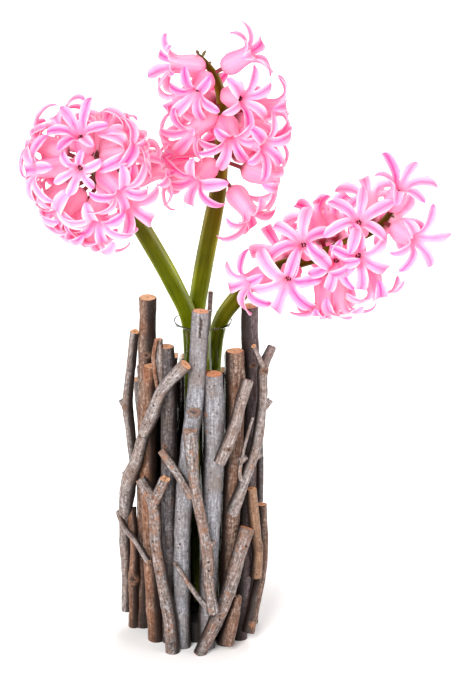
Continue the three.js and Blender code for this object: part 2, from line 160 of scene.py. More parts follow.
def bark(node, deep, body, pale, tinge, grit, flecks=0.66):
    """grit: how far from the middle of the noise its extremes lie. flecks: where they start."""
    # How much painted light each point gets, less on the inner side and at the foot, and where it lies
    # in the twig's grain
    facing = node("Attribute", {"attribute_name": "side"}, out="Fac")
    grain = node("Attribute", {"attribute_name": "grain"}, out="Vector")
    # The nearest knot, crack or scar: its code, and how far off it is, roughened further down
    spot = node("Attribute", {"attribute_name": "spot"}, out="Vector")
    code = node("SeparateXYZ", {}, {0: spot}, 2)
    flat = node("VectorMath", TIMES, {0: spot, 1: (*MARK_SQUEEZE, 0.0)})
    reach = node("VectorMath", LENGTH, {0: flat}, "Value")
    along = node("VectorMath", TIMES, {0: grain, 1: (1.0, 1.0, CRACK_STRETCH)})
    cracks, specks, patches, rubbed = [
        node("TexNoise", {}, {"Vector": place, "Scale": 1 / size, "Detail": fine, "Roughness": rough})
        for place, size, fine, rough in (
            (along, CRACK_WIDTH, 5.0, 0.66), (grain, SPECK_SIZE, 4.0, 0.7),
            (grain, PATCH_SIZE, 3.0, 0.6), (grain, FLECK_SIZE, 5.0, 0.75),
        )
    ]
    pores = node("TexVoronoi", {}, {"Vector": grain, "Scale": 1 / PORE_SPACING})
    half = node("Math", TIMES, {0: specks, 1: 0.5})
    mixed, shade_with_patches, off = [
        node("Math", TIMES_AND_PLUS, {0: noise, 1: share, 2: rest})
        for noise, share, rest in ((cracks, 0.5, half), (patches, 0.5, facing), (specks, 2.2, reach))
    ]
    halved = node("Math", TIMES, {0: off, 1: 0.5})
    tone = node(
        "ValToRGB", {}, {"Fac": mixed},
        stops=[(0.5 - grit, deep), (0.5, body), (0.5 + grit, pale)],
    )
    knot_tone = node("ValToRGB", {}, {"Fac": halved}, stops=KNOT_TONES)
    # How much each layer covers: from the value where it starts to that where it is fullest
    cover = {
        key: node(
            "MapRange", ease,
            {"Value": value, "From Min": start, "From Max": fullest, "To Max": most},
        )
        for key, value, ease, start, fullest, most in (
            ("worn", patches, PLAIN, 0.38, 0.72, 0.7),
            ("fleck", rubbed, SMOOTH, flecks, flecks + 0.07, 0.65),
            ("pore", pores, SMOOTH, 0.2, 0.1, 0.8),
            # painted shade on the inner sides and feet
            ("painted_shade", shade_with_patches, SMOOTH, 1.0, 0.2, 0.95),
            ("near", off, SMOOTH, 2.4, 1.9, 0.85),
            ("knot", code, PLAIN, 0.4, 0.6, 1.0),
            ("crack", code, PLAIN, 1.4, 1.6, 1.0),
            ("torn", off, SMOOTH, 2.1, 1.75, 0.75),
            ("broken", cracks, PLAIN, 0.42, 0.56, 1.0),
            ("scar", code, PLAIN, -0.4, -0.6, 1.0),
        )
    }
    for key, limit in (("knot", "near"), ("crack", "near"), ("scar", "torn"), ("scar", "broken")):
        cover[key] = node("Math", TIMES, {0: cover[key], 1: cover[limit]})
    # Painted shade: the sides turned in to the next twig, and the feet, are painted near black brown as
    # the shade that falls there, broken up a little by the patches
    for key, layer in (
        ("worn", colour(tinge)), ("fleck", colour("#865A3E")), ("pore", colour("#231A18")),
        ("painted_shade", colour("#180B06")), ("knot", knot_tone), ("crack", colour("#2A211E")),
        ("scar", colour("#8E5E40")),
    ):
        tone = node("Mix", MIX, {SHARE: cover[key], UNDER: tone, OVER: layer}, MIXED)
    height = node("Math", MINUS, {0: mixed, 1: cover["pore"]})
    bump = node("Bump", {}, {"Strength": 0.8, "Distance": 0.4 * MM, "Height": height})
    return node(
        "BsdfPrincipled", {},
        {"Base Color": tone, "Roughness": 0.56, "Specular IOR Level": 0.3, "Normal": bump},
    )


# Fresh cut wood: pale tan to orange, with yearly rings 0.8 mm apart that wander, round a dark
# pith under 1 mm wide
YEAR_RING = 0.8 * MM
RING_WANDER = 2.5 * MM
PITH_EDGE = 0.9 * MM
PITH_CORE = 0.4 * MM


def cut_wood(node, pale, ring, pith):
    grain = node("Attribute", {"attribute_name": "grain"}, out="Vector")
    flat = node("VectorMath", TIMES, {0: grain, 1: (1.0, 1.0, 0.0)})
    reach = node("VectorMath", LENGTH, {0: flat}, "Value")
    wobble = node("TexNoise", {}, {"Vector": grain, "Scale": 1 / RING_WANDER, "Detail": 3.0})
    turns = node("Math", TIMES_AND_PLUS, {0: reach, 1: TURN / YEAR_RING, 2: wobble})
    wave = node("Math", {"operation": "SINE"}, {0: turns})
    ringed = node("MapRange", {}, {"Value": wave, "From Min": -1.0, "To Max": 0.35})
    shade = node("Math", TIMES_AND_PLUS, {0: wobble, 1: 0.9, 2: ringed})
    tone = node("ValToRGB", {}, {"Fac": shade}, stops=[(0.3, pale), (0.85, ring)])
    heart = node(
        "MapRange", SMOOTH,
        {"Value": reach, "From Min": PITH_EDGE, "From Max": PITH_CORE, "To Max": 0.8},
    )
    base = node("Mix", MIX, {SHARE: heart, UNDER: tone, OVER: colour(pith)}, MIXED)
    bump = node("Bump", {}, {"Strength": 0.4, "Distance": 0.3 * MM, "Height": shade})
    return node(
        "BsdfPrincipled", {},
        {"Base Color": base, "Roughness": 0.8, "Specular IOR Level": 0.3, "Normal": bump},
    )


# Hyacinth tepal: a fleshy petal with a waxy skin that lets light through. Its midrib is deep
# pink, its blade paler and its edges near white with a breath of lilac, partly their own colour
# and partly painted highlight for the light that the thin edges let through. Veins run
# lengthwise about 0.7 mm apart.
VEIN_SPACING = 0.7 * MM
TEPAL_OUTSIDE = [(0.0, "#F266A6"), (0.2, "#FA96C0"), (0.6, "#FCB4D1"), (0.98, "#FBDDEC")]
TEPAL_INSIDE = [
    (0.0, "#F563AC"), (0.14, "#FA84B9"), (0.42, "#FCA0C7"), (0.76, "#FDBAD6"), (0.93, "#FCDFEE"),
    # painted shade: a deeper pink line along the very edge of the inside
    (1.0, "#F58CBC"),
]
# Throat, tip and stalk: where along the floret the tone starts and is fullest, and how full
FLORET_RUNS = [
    (0.2, -0.1, 0.45, "#FAA4C6"), (0.78, 1.0, 0.6, "#F070B2"), (-0.8, -0.96, 1.0, "#8E2E3A"),
]


def tepal_skin(node):
    bloom = node("Attribute", {"attribute_name": "bloom"}, out="Vector")
    along, across, own = node("SeparateXYZ", {}, {0: bloom}, None).outputs
    inside = node("Attribute", {"attribute_name": "inside"}, out="Fac")
    vein_place = node("Attribute", {"attribute_name": "vein"}, out="Vector")
    veins = node("TexNoise", {}, {"Vector": vein_place, "Scale": 1 / VEIN_SPACING, "Detail": 2.0})
    veined = node("Math", TIMES_AND_PLUS, {0: veins, 1: 0.8, 2: across})
    spread = node("Math", MINUS, {0: veined, 1: 0.4})
    under, over = [
        node("ValToRGB", {}, {"Fac": spread}, stops=stops)
        for stops in (TEPAL_OUTSIDE, TEPAL_INSIDE)
    ]
    tone = node("Mix", MIX, {SHARE: inside, UNDER: under, OVER: over}, MIXED)
    for start, fullest, most, code in FLORET_RUNS:
        share = node(
            "MapRange", SMOOTH,
            {"Value": along, "From Min": start, "From Max": fullest, "To Max": most},
        )
        tone = node("Mix", MIX, {SHARE: share, UNDER: tone, OVER: colour(code)}, MIXED)
    varied = node("MapRange", {}, {"Value": own, "To Min": 0.82, "To Max": 1.12})
    base = node("HueSaturation", {}, {"Saturation": varied, "Color": tone})
    bump = node("Bump", {}, {"Strength": 0.35, "Distance": 0.2 * MM, "Height": veins})
    skin = node(
        "BsdfPrincipled", {},
        {
            "Base Color": base, "Roughness": 0.48, "IOR": 1.42, "Specular IOR Level": 0.3,
            "Subsurface Weight": 0.6, "Subsurface Radius": (1.6, 0.55, 0.8),
            "Subsurface Scale": 1.6 * MM, "Normal": bump,
        },
    )
    through = node("BsdfTranslucent", {}, {"Color": base, "Normal": bump})
    return node("MixShader", {}, {0: 0.35, 1: skin, 2: through})


# A hyacinth's stem: juicy and smooth, under a thin waxy bloom that pales its edges. Olive green
# with faint lengthwise bands 3 mm wide and 14 mm clouds, browner where the florets grow
STEM_BAND = 3 * MM
STEM_CLOUD = 14 * MM
BAND_STRETCH = 0.06
STEM_GREENS = [(0.4, "#2E3400"), (0.7, "#4C5300"), (1.0, "#6A7002")]
STEM_BROWNS = [(0.4, "#2E1C02"), (0.7, "#4A3402"), (1.0, "#66500A")]


def stem_skin(node):
    grain = node("Attribute", {"attribute_name": "grain"}, out="Vector")
    ripe = node("Attribute", {"attribute_name": "marks"}, out="Fac")
    along = node("VectorMath", TIMES, {0: grain, 1: (1.0, 1.0, BAND_STRETCH)})
    lines, clouds = [
        node("TexNoise", {}, {"Vector": place, "Scale": 1 / size, "Detail": detail})
        for place, size, detail in ((along, STEM_BAND, 3.0), (grain, STEM_CLOUD, 2.0))
    ]
    toned = node("Math", TIMES_AND_PLUS, {0: clouds, 1: 0.4, 2: lines})
    green, brown = [
        node("ValToRGB", {}, {"Fac": toned}, stops=stops)
        for stops in (STEM_GREENS, STEM_BROWNS)
    ]
    base = node("Mix", MIX, {SHARE: ripe, UNDER: green, OVER: brown}, MIXED)
    bump = node("Bump", {}, {"Strength": 0.3, "Distance": 0.2 * MM, "Height": lines})
    return node(
        "BsdfPrincipled", {},
        {
            "Base Color": base, "Roughness": 0.4, "Specular IOR Level": 0.06,
            "IOR": 1.42, "Sheen Weight": 1.0, "Sheen Roughness": 0.2,
            "Sheen Tint": colour("#E4EC9C"), "Subsurface Weight": 0.1,
            "Subsurface Radius": (0.6, 1.0, 0.3), "Subsurface Scale": 1.5 * MM, "Normal": bump,
        },
    )


def mottled(node, base, roughness, spot, spot_size, metallic=0.0):
    """A finish with soft mottling of one size between two close colours."""
    place = node("TexCoord", out="Object")
    mottle = node("TexNoise", {}, {"Vector": place, "Scale": 1 / spot_size, "Detail": 3.0})
    tone = node("ValToRGB", {}, {"Fac": mottle}, stops=[(0.35, base), (0.7, spot)])
    bump = node("Bump", {}, {"Strength": 0.2, "Distance": 0.2 * MM, "Height": mottle})
    return node(
        "BsdfPrincipled", {},
        {"Base Color": tone, "Roughness": roughness, "Metallic": metallic, "Normal": bump},
    )


# Each bark's deep, middle and pale tone, its worn tinge, its grit and where its flecks start
BARKS = {
    key: make_material(f"{key}_bark", bark, *tones)
    for key, *tones in (
        ("blue_grey", "#444346", "#7B7A7F", "#BEBCC2", "#6A5A50", 0.17),
        ("light_grey", "#38291F", "#7B716E", "#C4BCBA", "#70503C", 0.15),
        ("dark_grey", "#1A1412", "#474143", "#908A8D", "#44301F", 0.15),
        ("warm_grey", "#2C1A10", "#684F42", "#B29E90", "#6A3E24", 0.14),
        ("brown", "#261307", "#6E4C3A", "#B49A88", "#78421C", 0.15, 0.6),
        ("purple_grey", "#201616", "#4E4144", "#93858A", "#4E3226", 0.15),
        ("flecked", "#2A1A14", "#6D6562", "#B8B2B2", "#744628", 0.13, 0.54),
        ("peeled", "#4A3426", "#86654D", "#B3917A", "#6A4934", 0.16),
    )
}
CUT_WOOD = make_material("sawn_twig_wood", cut_wood, "#DFB18C", "#B6815A", "#74492F")
RED_CUT = make_material("fresh_twig_wood", cut_wood, "#DDA47C", "#B9744A", "#74422A")
OLD_CUT = make_material("weathered_twig_wood", cut_wood, "#B09684", "#85685A", "#4C3A30")
TEPAL = make_material("hyacinth_tepal", tepal_skin)
STEM = make_material("hyacinth_stem", stem_skin)

# Anther: a matt sac, near black when ripe
ANTHER = make_material("ripe_anther", mottled, "#1E1216", 0.7, "#43262A", 0.6 * MM)
# Bud that never opened: a waxy olive skin that dries to maroon
BUD = make_material("withered_bud", mottled, "#565018", 0.5, "#5E2E28", 2.5 * MM)
# Bract: a dry papery scale, straw coloured
BRACT = make_material("dry_bract", mottled, "#C9A98A", 0.6, "#9A6B58", 0.8 * MM)
# Nail: blued steel wire, darkened outdoors
NAIL = make_material("rusted_nail_steel", mottled, "#2B2523", 0.5, "#4A3024", 0.5 * MM, 0.8)
# Plate under the vase: softwood, coloured near black brown as painted shade for the dark inside of the
# ring, where it shows
PLATE = make_material("plate_dark_as_shade", mottled, "#150E0A", 0.85, "#0D0806", 6 * MM)


# Drawn soda-lime glass: clear, with the hard shine and bright lip of a polished rim
def clear_glass(node):
    return node(
        "BsdfPrincipled", {},
        {
            "Base Color": colour("#F4F8F3"), "Roughness": 0.0, "IOR": 1.5,
            "Transmission Weight": 1.0,
        },
    )


# Water that has stood with cut stems in it: murky, and drawn near black green brown and mostly opaque
# as painted shade for the dark inside of the ring
def water_dark_as_shade(node):
    facing = node("LayerWeight", {}, {"Blend": 0.3}, "Facing")
    cover = node("MapRange", {}, {"Value": facing, "To Min": 0.6, "To Max": 0.95})
    return node(
        "BsdfPrincipled", {},
        {"Base Color": colour("#0C0E07"), "Roughness": 0.02, "IOR": 1.33, "Alpha": cover},
    )


GLASS = make_material("soda_lime_glass", clear_glass)
WATER = make_material("water_dark_as_shade", water_dark_as_shade)

# Meshes

RIGHT, BACK, UP = np.eye(3)


class Shape:
    """Gathers grids of points, each a run of rows, into one piece's mesh.

    usual holds what each attribute is on the grids that don't give it.
    """

    def __init__(self, **usual):
        self.usual = usual
        self.values = {key: [] for key in usual}
        self.points = []
        self.faces = []
        self.looks = []
        self.count = 0

    def add_faces(self, quads, looks):
        self.faces.append(quads)
        self.looks.append(looks)

    def add_grid(self, points, look, closed=False, **values):
        """points: rows x columns x 3, in millimetres. values: what spreads to the same shape."""
        rows, columns = points.shape[:2]
        index = self.count + np.arange(rows * columns).reshape(rows, columns)
        self.count += rows * columns
        self.points.append(points.reshape(-1, 3))
        for key, kept in self.values.items():
            value = values.get(key, self.usual[key])
            kept.append(np.broadcast_to(value, points.shape).reshape(-1, 3))
        if closed:
            index = np.concatenate([index, index[:, :1]], axis=1)
        corners = [index[:-1, :-1], index[:-1, 1:], index[1:, 1:], index[1:, :-1]]
        quads = np.stack(corners, axis=-1).reshape(-1, 4)
        self.add_faces(quads, np.broadcast_to(look, rows - 1).repeat(index.shape[1] - 1))
        return index

    def build(self, name, materials, weld, crease=None, level=None):
        """weld: how near two points are one. crease: degrees. level: the height it is cut off at."""
        mesh = bpy.data.meshes.new(name)
        points = np.concatenate(self.points) * MM
        mesh.from_pydata(points.tolist(), [], np.concatenate(self.faces).tolist())
        for material in materials:
            mesh.materials.append(material)
        mesh.polygons.foreach_set("material_index", np.concatenate(self.looks).astype(np.int32))
        for key, chunks in self.values.items():
            layer = mesh.attributes.new(key, "FLOAT_VECTOR", "POINT")
            layer.data.foreach_set("vector", np.concatenate(chunks).astype(np.float32).ravel())
        work = bmesh.new()
        work.from_mesh(mesh)
        bmesh.ops.remove_doubles(work, verts=work.verts, dist=weld * MM)
        bmesh.ops.dissolve_degenerate(work, edges=work.edges, dist=weld * MM * 0.5)
        if level is not None:
            cut = bmesh.ops.bisect_plane(
                work, geom=work.verts[:] + work.edges[:] + work.faces[:],
                plane_co=(0, 0, level * MM), plane_no=(0, 0, -1), clear_outer=True,
            )
            edges = [e for e in cut["geom_cut"] if isinstance(e, bmesh.types.BMEdge)]
            bmesh.ops.holes_fill(work, edges=edges)
        bmesh.ops.recalc_face_normals(work, faces=work.faces)
        for face in work.faces:
            face.smooth = True
        work.to_mesh(mesh)
        work.free()
        if crease:
            mesh.set_sharp_from_angle(angle=math.radians(crease))
        piece = bpy.data.objects.new(name, mesh)
        bpy.context.scene.collection.objects.link(piece)
        return piece


def settle(piece, slot, *nodes):
    """Rides a finished piece on the one body, in the place of its CAD nodes."""
    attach(piece, "root")
    if nodes:
        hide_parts(*nodes)


def blend(first, last, start, stop, t):
    """From first at start to last at stop."""
    return first * (stop - t) / (stop - start) + last * (t - start) / (stop - start)


SPLINE_STEPS = 40


def spline(rows, spacing):
    """Centripetal Catmull-Rom through rows of x, y, z and radius.

    Gives places and radii at an even spacing, and how far along each lies.
    """
    rows = np.asarray(rows, float)
    points, radii = rows[:, :3], rows[:, 3]
    ends = [2 * points[0] - points[1], *points, 2 * points[-1] - points[-2]]
    places = []
    sizes = []
    for i in range(len(points) - 1):
        p0, p1, p2, p3 = ends[i:i + 4]
        t1 = np.linalg.norm(p1 - p0) ** 0.5
        t2 = t1 + np.linalg.norm(p2 - p1) ** 0.5
        t3 = t2 + np.linalg.norm(p3 - p2) ** 0.5
        share = np.linspace(0, 1, SPLINE_STEPS, endpoint=i == len(points) - 2)[:, None]
        t = t1 + (t2 - t1) * share
        a1 = blend(p0, p1, 0, t1, t)
        a2 = blend(p1, p2, t1, t2, t)
        a3 = blend(p2, p3, t2, t3, t)
        b1 = blend(a1, a2, 0, t2, t)
        b2 = blend(a2, a3, t1, t3, t)
        places.append(blend(b1, b2, t1, t2, t))
        sizes.append(radii[i] + (radii[i + 1] - radii[i]) * share[:, 0])
    places = np.concatenate(places)
    steps = np.linalg.norm(np.diff(places, axis=0), axis=1)
    run = np.concatenate([[0], np.cumsum(steps)])
    wanted = np.linspace(0, run[-1], max(int(round(run[-1] / spacing)), 4) + 1)
    even = together(*[np.interp(wanted, run, axis) for axis in places.T])
    return even, np.interp(wanted, run, np.concatenate(sizes)), wanted


def unit(vectors):
    return vectors / np.linalg.norm(vectors, axis=-1, keepdims=True)


def path_frame(places, front):
    """Tangent, front and right at each place: front faces the viewer, right the viewer's right."""
    tangent = unit(np.gradient(places, axis=0))
    front = unit(front - tangent * (tangent @ front)[:, None])
    return tangent, front, np.cross(tangent, front)


def ring_angles(sides):
    return np.linspace(0, TURN, sides, endpoint=False)


def circle(centre, first, second, radius, angle):
    """Points round a centre on two axes, or round each of many centres."""
    near = first[..., None, :] * (radius * np.cos(angle))[..., None]
    far = second[..., None, :] * (radius * np.sin(angle))[..., None]
    return centre[..., None, :] + near + far


def together(x, y, z):
    """Three values at each place, as its point or its look."""
    return np.stack(np.broadcast_arrays(x, y, z), axis=-1)


def round_grain(radius, angle, along):
    """Where the points of a round stick lie in its own grain, in metres."""
    return together(radius * np.cos(angle), radius * np.sin(angle), along) * MM


# Twigs: turn round the ring, distance from its middle, height and radius, from the top down

FRONT_UPRIGHTS = [
    [(-72, 28, 199, 4.9), (-79, 28, 155, 4.9), (-86, 29.5, 64, 4.9), (-86, 31, -4, 5)],
    [(-57, 30, 162, 4.4), (-62, 30.5, 112, 4.6), (-55, 31, 47, 4.7), (-48, 31, -4, 4.8)],
    [(-35, 28.5, 176, 4.4), (-33, 28.5, 145, 4.4), (-34, 28, 74, 4.4), (-34, 28, -4, 4.4)],
    [(5, 28, 198, 5), (-1, 29, 150, 5), (-11, 29.5, 106, 5), (-16, 30, 64, 4.8),
     (-16, 30.5, -4, 4.7)],
    [(18, 29.5, 162, 5.6), (19, 29.5, 129, 5.8), (17, 29.5, 98, 5.6), (13, 30, 52, 5.2),
     (9, 30.5, -4, 5)],
    [(47, 28.5, 172, 5.4), (46, 29, 132, 5.2), (39, 29.5, 74, 5), (31, 30, -4, 5)],
    [(74, 30, 194, 4.9), (76, 30, 155, 4.9), (62, 30, 70, 4.6), (51, 30, -4, 4.5)],
]
OUTER_TWIGS = [
    [(-77, 35, 179, 2.4), (-88, 36, 160, 2.7), (-90, 38.5, 134, 3.1), (-89, 37, 117, 2.8),
     (-88, 35.5, 99, 2.5)],
    [(-88, 37, 72, 2.6), (-76, 36.5, 53, 2.5), (-80, 36.5, 28, 3), (-85, 36.5, -4, 3.1)],
    [(-9, 38, 171, 3.6), (-29, 38, 155, 3.6), (-38, 38.5, 140, 3.6), (-48, 38.5, 127, 3.5),
     (-57, 39, 110, 3.7), (-70, 39, 97, 4.4), (-84, 39.5, 82, 4.5), (-89, 41, 55, 3.3),
     (-89, 40.5, 37, 2.8), (-89, 40.5, 9, 2.8)],
    [(-37, 36, 182, 1.2), (-40, 36, 173, 1.2), (-39, 36, 164, 1.2), (-35, 36, 152, 1.3)],
    [(-39, 32.5, 181, 2.2), (-38, 32.5, 170, 2), (-36, 33, 155, 1.6)],
    [(-89, 44.5, 69, 1.6), (-78, 42, 64, 1.8), (-54, 41.5, 61, 1.8), (-41, 41.5, 53, 1.8)],
    [(46, 38.5, 158, 3.3), (39, 38.5, 147, 3.4), (30, 38.5, 130, 3.5), (19, 38.5, 114, 3.5)],
    [(44, 39.5, 71, 4.3), (35, 39.5, 56, 4.2), (26, 39, 36, 4.2), (15, 39, 19, 4.1),
     (2, 39, 0, 4)],
    [(53, 37.5, 92, 3.1), (57, 38, 67, 3.3), (61, 38, 53, 3.4), (59, 38, 38, 3.3)],
    [(73, 36, 116, 2), (75, 36, 98, 2.1), (74, 36, 80, 2.1)],
    [(83, 36, 75, 3.2), (82, 36.5, 42, 3.3), (61, 37, 23, 3.4), (50, 37, 6, 3.5)],
    [(37, 37, 30, 2.5), (31, 37.5, 17, 4), (25, 38, 4, 4.2)],
]
FORKED_TWIGS = [
    [
        [(-53, 38.5, 98, 3.2), (-39, 38.5, 88, 3.6), (-35, 39, 62, 3.5), (-29, 39, 41, 3.6),
         (-23, 39, 20, 4), (-20, 39.5, -4, 4.2)],
        [(-27, 38.5, 103, 3), (-39, 38.5, 86, 3.2)],
    ],
    [
        [(-5, 38.5, 133, 4.3), (-3, 38.5, 111, 3.2), (-1, 38.5, 98, 3.2), (5, 40, 76, 3.1),
         (8, 41.5, 60, 3.2), (9, 43.5, 42, 3.4), (11, 46, 28, 3.5)],
        [(-30, 38, 119, 2.2), (-17, 38, 108, 2.4), (-4, 38.5, 94, 2.6)],
        [(-18, 39, 54, 1.2), (-7, 40, 43, 1.4), (3, 43, 34, 1.8), (10, 45.5, 29, 2.2)],
    ],
    [
        [(86, 41, 168, 2.6), (69, 39, 161, 2.9), (68, 38.5, 140, 3), (56, 38.5, 115, 3.1),
         (46, 37.8, 103, 3.3), (39, 37.8, 94, 3.4), (30, 37.8, 82, 3.6)],
        [(54, 38.5, 176, 1.4), (68, 39, 161, 1.8)],
        [(54, 37.5, 134, 1), (43, 38, 119, 1), (38, 38, 104, 1.4), (43, 38.5, 97, 1.8)],
    ],
]
BACK_SEED = 41
BACK_UPRIGHTS = 10
BACK_TURNS = (96, 256)
BACK_DISTANCE = 29.5
BACK_WANDER = (-2, 2)
BACK_TOPS = (138, 157)
BACK_RADII = (4.4, 5.1)
BELOW_GROUND = -4
BACK_THIN = [(168, 35.5, 187, 1.3), (171, 35.5, 150, 1.6), (173, 35.5, 105, 1.9)]
# Turn, sweep, lowest height, highest height, radius
BACK_CROSSING = [
    (134, 20, 52, 128, 3.3), (158, -26, 20, 112, 3.4), (190, 24, 62, 146, 3.2),
    (222, -22, 10, 92, 3.6), (236, 16, 84, 142, 2.9),
]
CROSSING_DISTANCE = 37

# Barks in the order of the tables
UPRIGHT_BARKS = "warm_grey brown dark_grey blue_grey blue_grey warm_grey purple_grey".split()
BACK_UPRIGHT_BARKS = "warm_grey blue_grey brown dark_grey light_grey".split() * 2
OUTER_BARKS = (
    "light_grey brown light_grey brown light_grey light_grey light_grey flecked peeled "
    "dark_grey warm_grey warm_grey"
).split()
FORKED_BARKS = "flecked flecked light_grey".split()
BACK_BARKS = "light_grey warm_grey blue_grey purple_grey brown light_grey".split()

# Twigs with torn ends besides the forked ones, and those with reddish or weathered cuts
TORN_TWIGS = ("outer_twig_01", "outer_twig_12")
RED_CUTS = ("upright_twig_05", "outer_twig_08", "outer_twig_11")
OLD_CUTS = ("forked_twig_02", "outer_twig_07", "outer_twig_12")

# Marks on a twig: height, the turn it faces, kind and size. A knot is a raised ring, a scar
# is torn bark, a nail is a small head and a stub is a side shoot broken off short.
MARKS = {
    "upright_twig_01": [(167, -8, "knot", 2.5), (90, -98, "stub", 3)],
    "upright_twig_02": [(156, -50, "scar", 1.6)],
    "upright_twig_03": [(120, -25, "knot", 1.5)],
    "upright_twig_04": [(191, 3, "crack", 7), (142, -4, "knot", 3.3), (64, -15, "nail", 0.6)],
    "upright_twig_05": [(140, -48, "scar", 1.6), (130, -48, "scar", 1.3)],
    "upright_twig_06": [(120, 30, "knot", 1.6)],
    "upright_twig_07": [(161, 20, "knot", 1.9)],
    "outer_twig_01": [(133, -40, "knot", 1.8), (134, -125, "stub", 2.2)],
    "outer_twig_02": [(32, -20, "knot", 4)],
    "outer_twig_03": [(147, -30, "nail", 0.6), (126, -37, "knot", 1.2), (96, -50, "scar", 1.6),
                      (92, -140, "stub", 1.8)],
    "outer_twig_07": [(122, 21, "knot", 1.7)],
    "outer_twig_08": [(70, 20, "scar", 2), (63, 33, "nail", 0.6), (22, 16, "nail", 0.6)],
    "outer_twig_09": [(56, 50, "knot", 2.2)],
    "outer_twig_11": [(11, 30, "scar", 2.4)],
    "forked_twig_01": [(92, -31, "scar", 1.6), (78, -30, "scar", 1.1), (66, -29, "nail", 0.6),
                       (60, -29, "nail", 0.6), (48, -26, "knot", 1.5)],
    "forked_twig_02": [(122, -7, "scar", 1.3), (111, -5, "scar", 1.1), (102, -2, "scar", 0.9),
                       (58, 6, "nail", 0.6), (53, 8, "nail", 0.6), (67, 100, "stub", 2.2)],
    "forked_twig_03": [(159, 20, "knot", 2.2), (107, 30, "scar", 1.6), (85, 28, "scar", 0.9),
                       (139, 125, "stub", 3), (113, 120, "stub", 2)],
}
# A mark farther than this from a stick's own heights belongs to another stick of the twig
MARK_MISS = 3


class Draws:
    """The same seeded draws as the part's source."""

    def __init__(self, seed):
        self.state = seed

    def between(self, pair):
        self.state = self.state * 16807 % 2147483647
        low, high = pair
        return low + (high - low) * self.state / 2147483647


def back_uprights():
    draws = Draws(BACK_SEED)
    first, last = BACK_TURNS
    rows = []
    for i in range(BACK_UPRIGHTS):
        turn = first + (last - first) * i / (BACK_UPRIGHTS - 1)
        top, radius, lean = [draws.between(pair) for pair in (BACK_TOPS, BACK_RADII, BACK_WANDER)]
        rows.append([
            (turn + lean, BACK_DISTANCE, top, radius),
            (turn, BACK_DISTANCE, top / 2, radius),
            (turn - lean, BACK_DISTANCE, BELOW_GROUND, radius),
        ])
    return rows


def back_crossing(turn, sweep, low, high, radius):
    return [
        (turn + sweep / 2, CROSSING_DISTANCE, high, radius),
        (turn, CROSSING_DISTANCE, (low + high) / 2, radius),
        (turn - sweep / 2, CROSSING_DISTANCE, low, radius),
    ]


def ring_point(turn, distance, height):
    angle = math.radians(turn)
    return np.array((distance * math.sin(angle), -distance * math.cos(angle), height))


TWIG_STEP = 1.0
BARK_LOOK, WOOD_LOOK, NAIL_LOOK = range(3)
# What a twig's attributes are where nothing else is said: no mark near, and in full light
CLEAR_OF_MARKS = 9.0
USUAL_BARK = {"grain": 0.0, "spot": (CLEAR_OF_MARKS, 0.0, 0.0), "side": 1.0}
# Painted shade: the twigs are painted darker near the ground, where less light reaches them
FOOT_SHADE = 0.4
FOOT_SHADE_HEIGHT = 45.0
# Lumps of a stick: waves round it, length of a wave along it, share of its radius
LUMPS = [
    (0, 40, 0.02), (1, 30, 0.012), (2, 46, 0.025), (3, 24, 0.014), (4, 15, 0.008),
    (6, 9, 0.006), (9, 5, 0.004),
]
# Swellings where leaves once grew: how far apart, how thick and how long
NODE_SPACING = (28, 55)
NODE_SWELL = 0.05
NODE_LENGTH = 1.8
# A stick's end from its bark inward: share of its radius, and how far out it stands
END_RINGS = [
    (1.0, 0.0), (0.985, 0.3), (0.94, 0.5), (0.88, 0.5), (0.62, 0.46), (0.3, 0.5), (0.02, 0.48),
]
SAWN = [BARK_LOOK] * 3 + [WOOD_LOOK] * 3
TORN = [BARK_LOOK] * 2 + [WOOD_LOOK] * 4
# Nail head: share of its radius, and height over the bark
NAIL_SIDES = 10
NAIL_RINGS = [(1.0, -0.3), (1.0, 0.12), (0.7, 0.25), (0.02, 0.28)]
# Side shoot: share of its radius, and reach in its own sizes
STUB_SIDES = 14
STUB_RINGS = [
    (1.5, -1.6), (1.25, 0.0), (1.0, 0.5), (0.94, 1.0), (0.9, 1.06), (0.82, 1.06), (0.5, 1.0),
    (0.02, 1.02),
]
STUB_LOOKS = [BARK_LOOK] * 5 + [WOOD_LOOK] * 2
# How the bark tells apart the marks that are carved into it
MARK_CODES = {"scar": -1.0, "knot": 1.0, "crack": 2.0}


def lumpy(rng, radii, around, reach):
    """The uneven radius of a stick, with a swelling at each of its nodes."""
    lumps = np.zeros_like(around)
    for waves, length, amount in LUMPS:
        phase, tilt = rng.uniform(0, TURN, 2)
        along = reach * TURN / (length * rng.uniform(0.8, 1.25))
        lumps += amount * np.sin(waves * around + phase + along)
        lumps += amount * 0.6 * np.sin(waves * around + tilt - along)
    thick = radii[:, None] * (0.98 + lumps)
    at = rng.uniform(*NODE_SPACING) * 0.6
    while at < reach[-1, 0] - 6:
        bent = reach - at + 0.5 * np.sin(around + rng.uniform(0, 6))
        thick += NODE_SWELL * radii[:, None] * np.exp(-(bent / NODE_LENGTH) ** 2)
        at += rng.uniform(*NODE_SPACING)
    return thick


def carve(kind, size, arc, rise, thick, spot, nearest):
    """Carves a mark into the bark, and notes it wherever it is the nearest one.

    arc and rise: how far round and along the stick each point lies from the mark's middle.
    """
    if kind == "crack":
        arc = (arc - 0.12 * np.sin(rise * 0.9)) / (0.45 + 0.3 * np.sin(rise * 1.3) ** 2)
        thick -= 0.4 * np.exp(-(arc / 0.6) ** 2) * np.exp(-(rise / size) ** 4)
    else:
        arc = arc / size
    rise = rise / size
    far = np.hypot(arc * MARK_SQUEEZE[0], rise * MARK_SQUEEZE[1])
    if kind == "knot":
        thick += 0.5 * np.exp(-((far - 0.9) / 0.4) ** 2)
        thick -= 0.3 * np.exp(-(far / 0.5) ** 2)
    if kind == "scar":
        thick -= 0.25 * np.exp(-far ** 2)
    near = far < nearest
    spot[near] = together(arc, rise, MARK_CODES[kind])[near]
    nearest[near] = far[near]


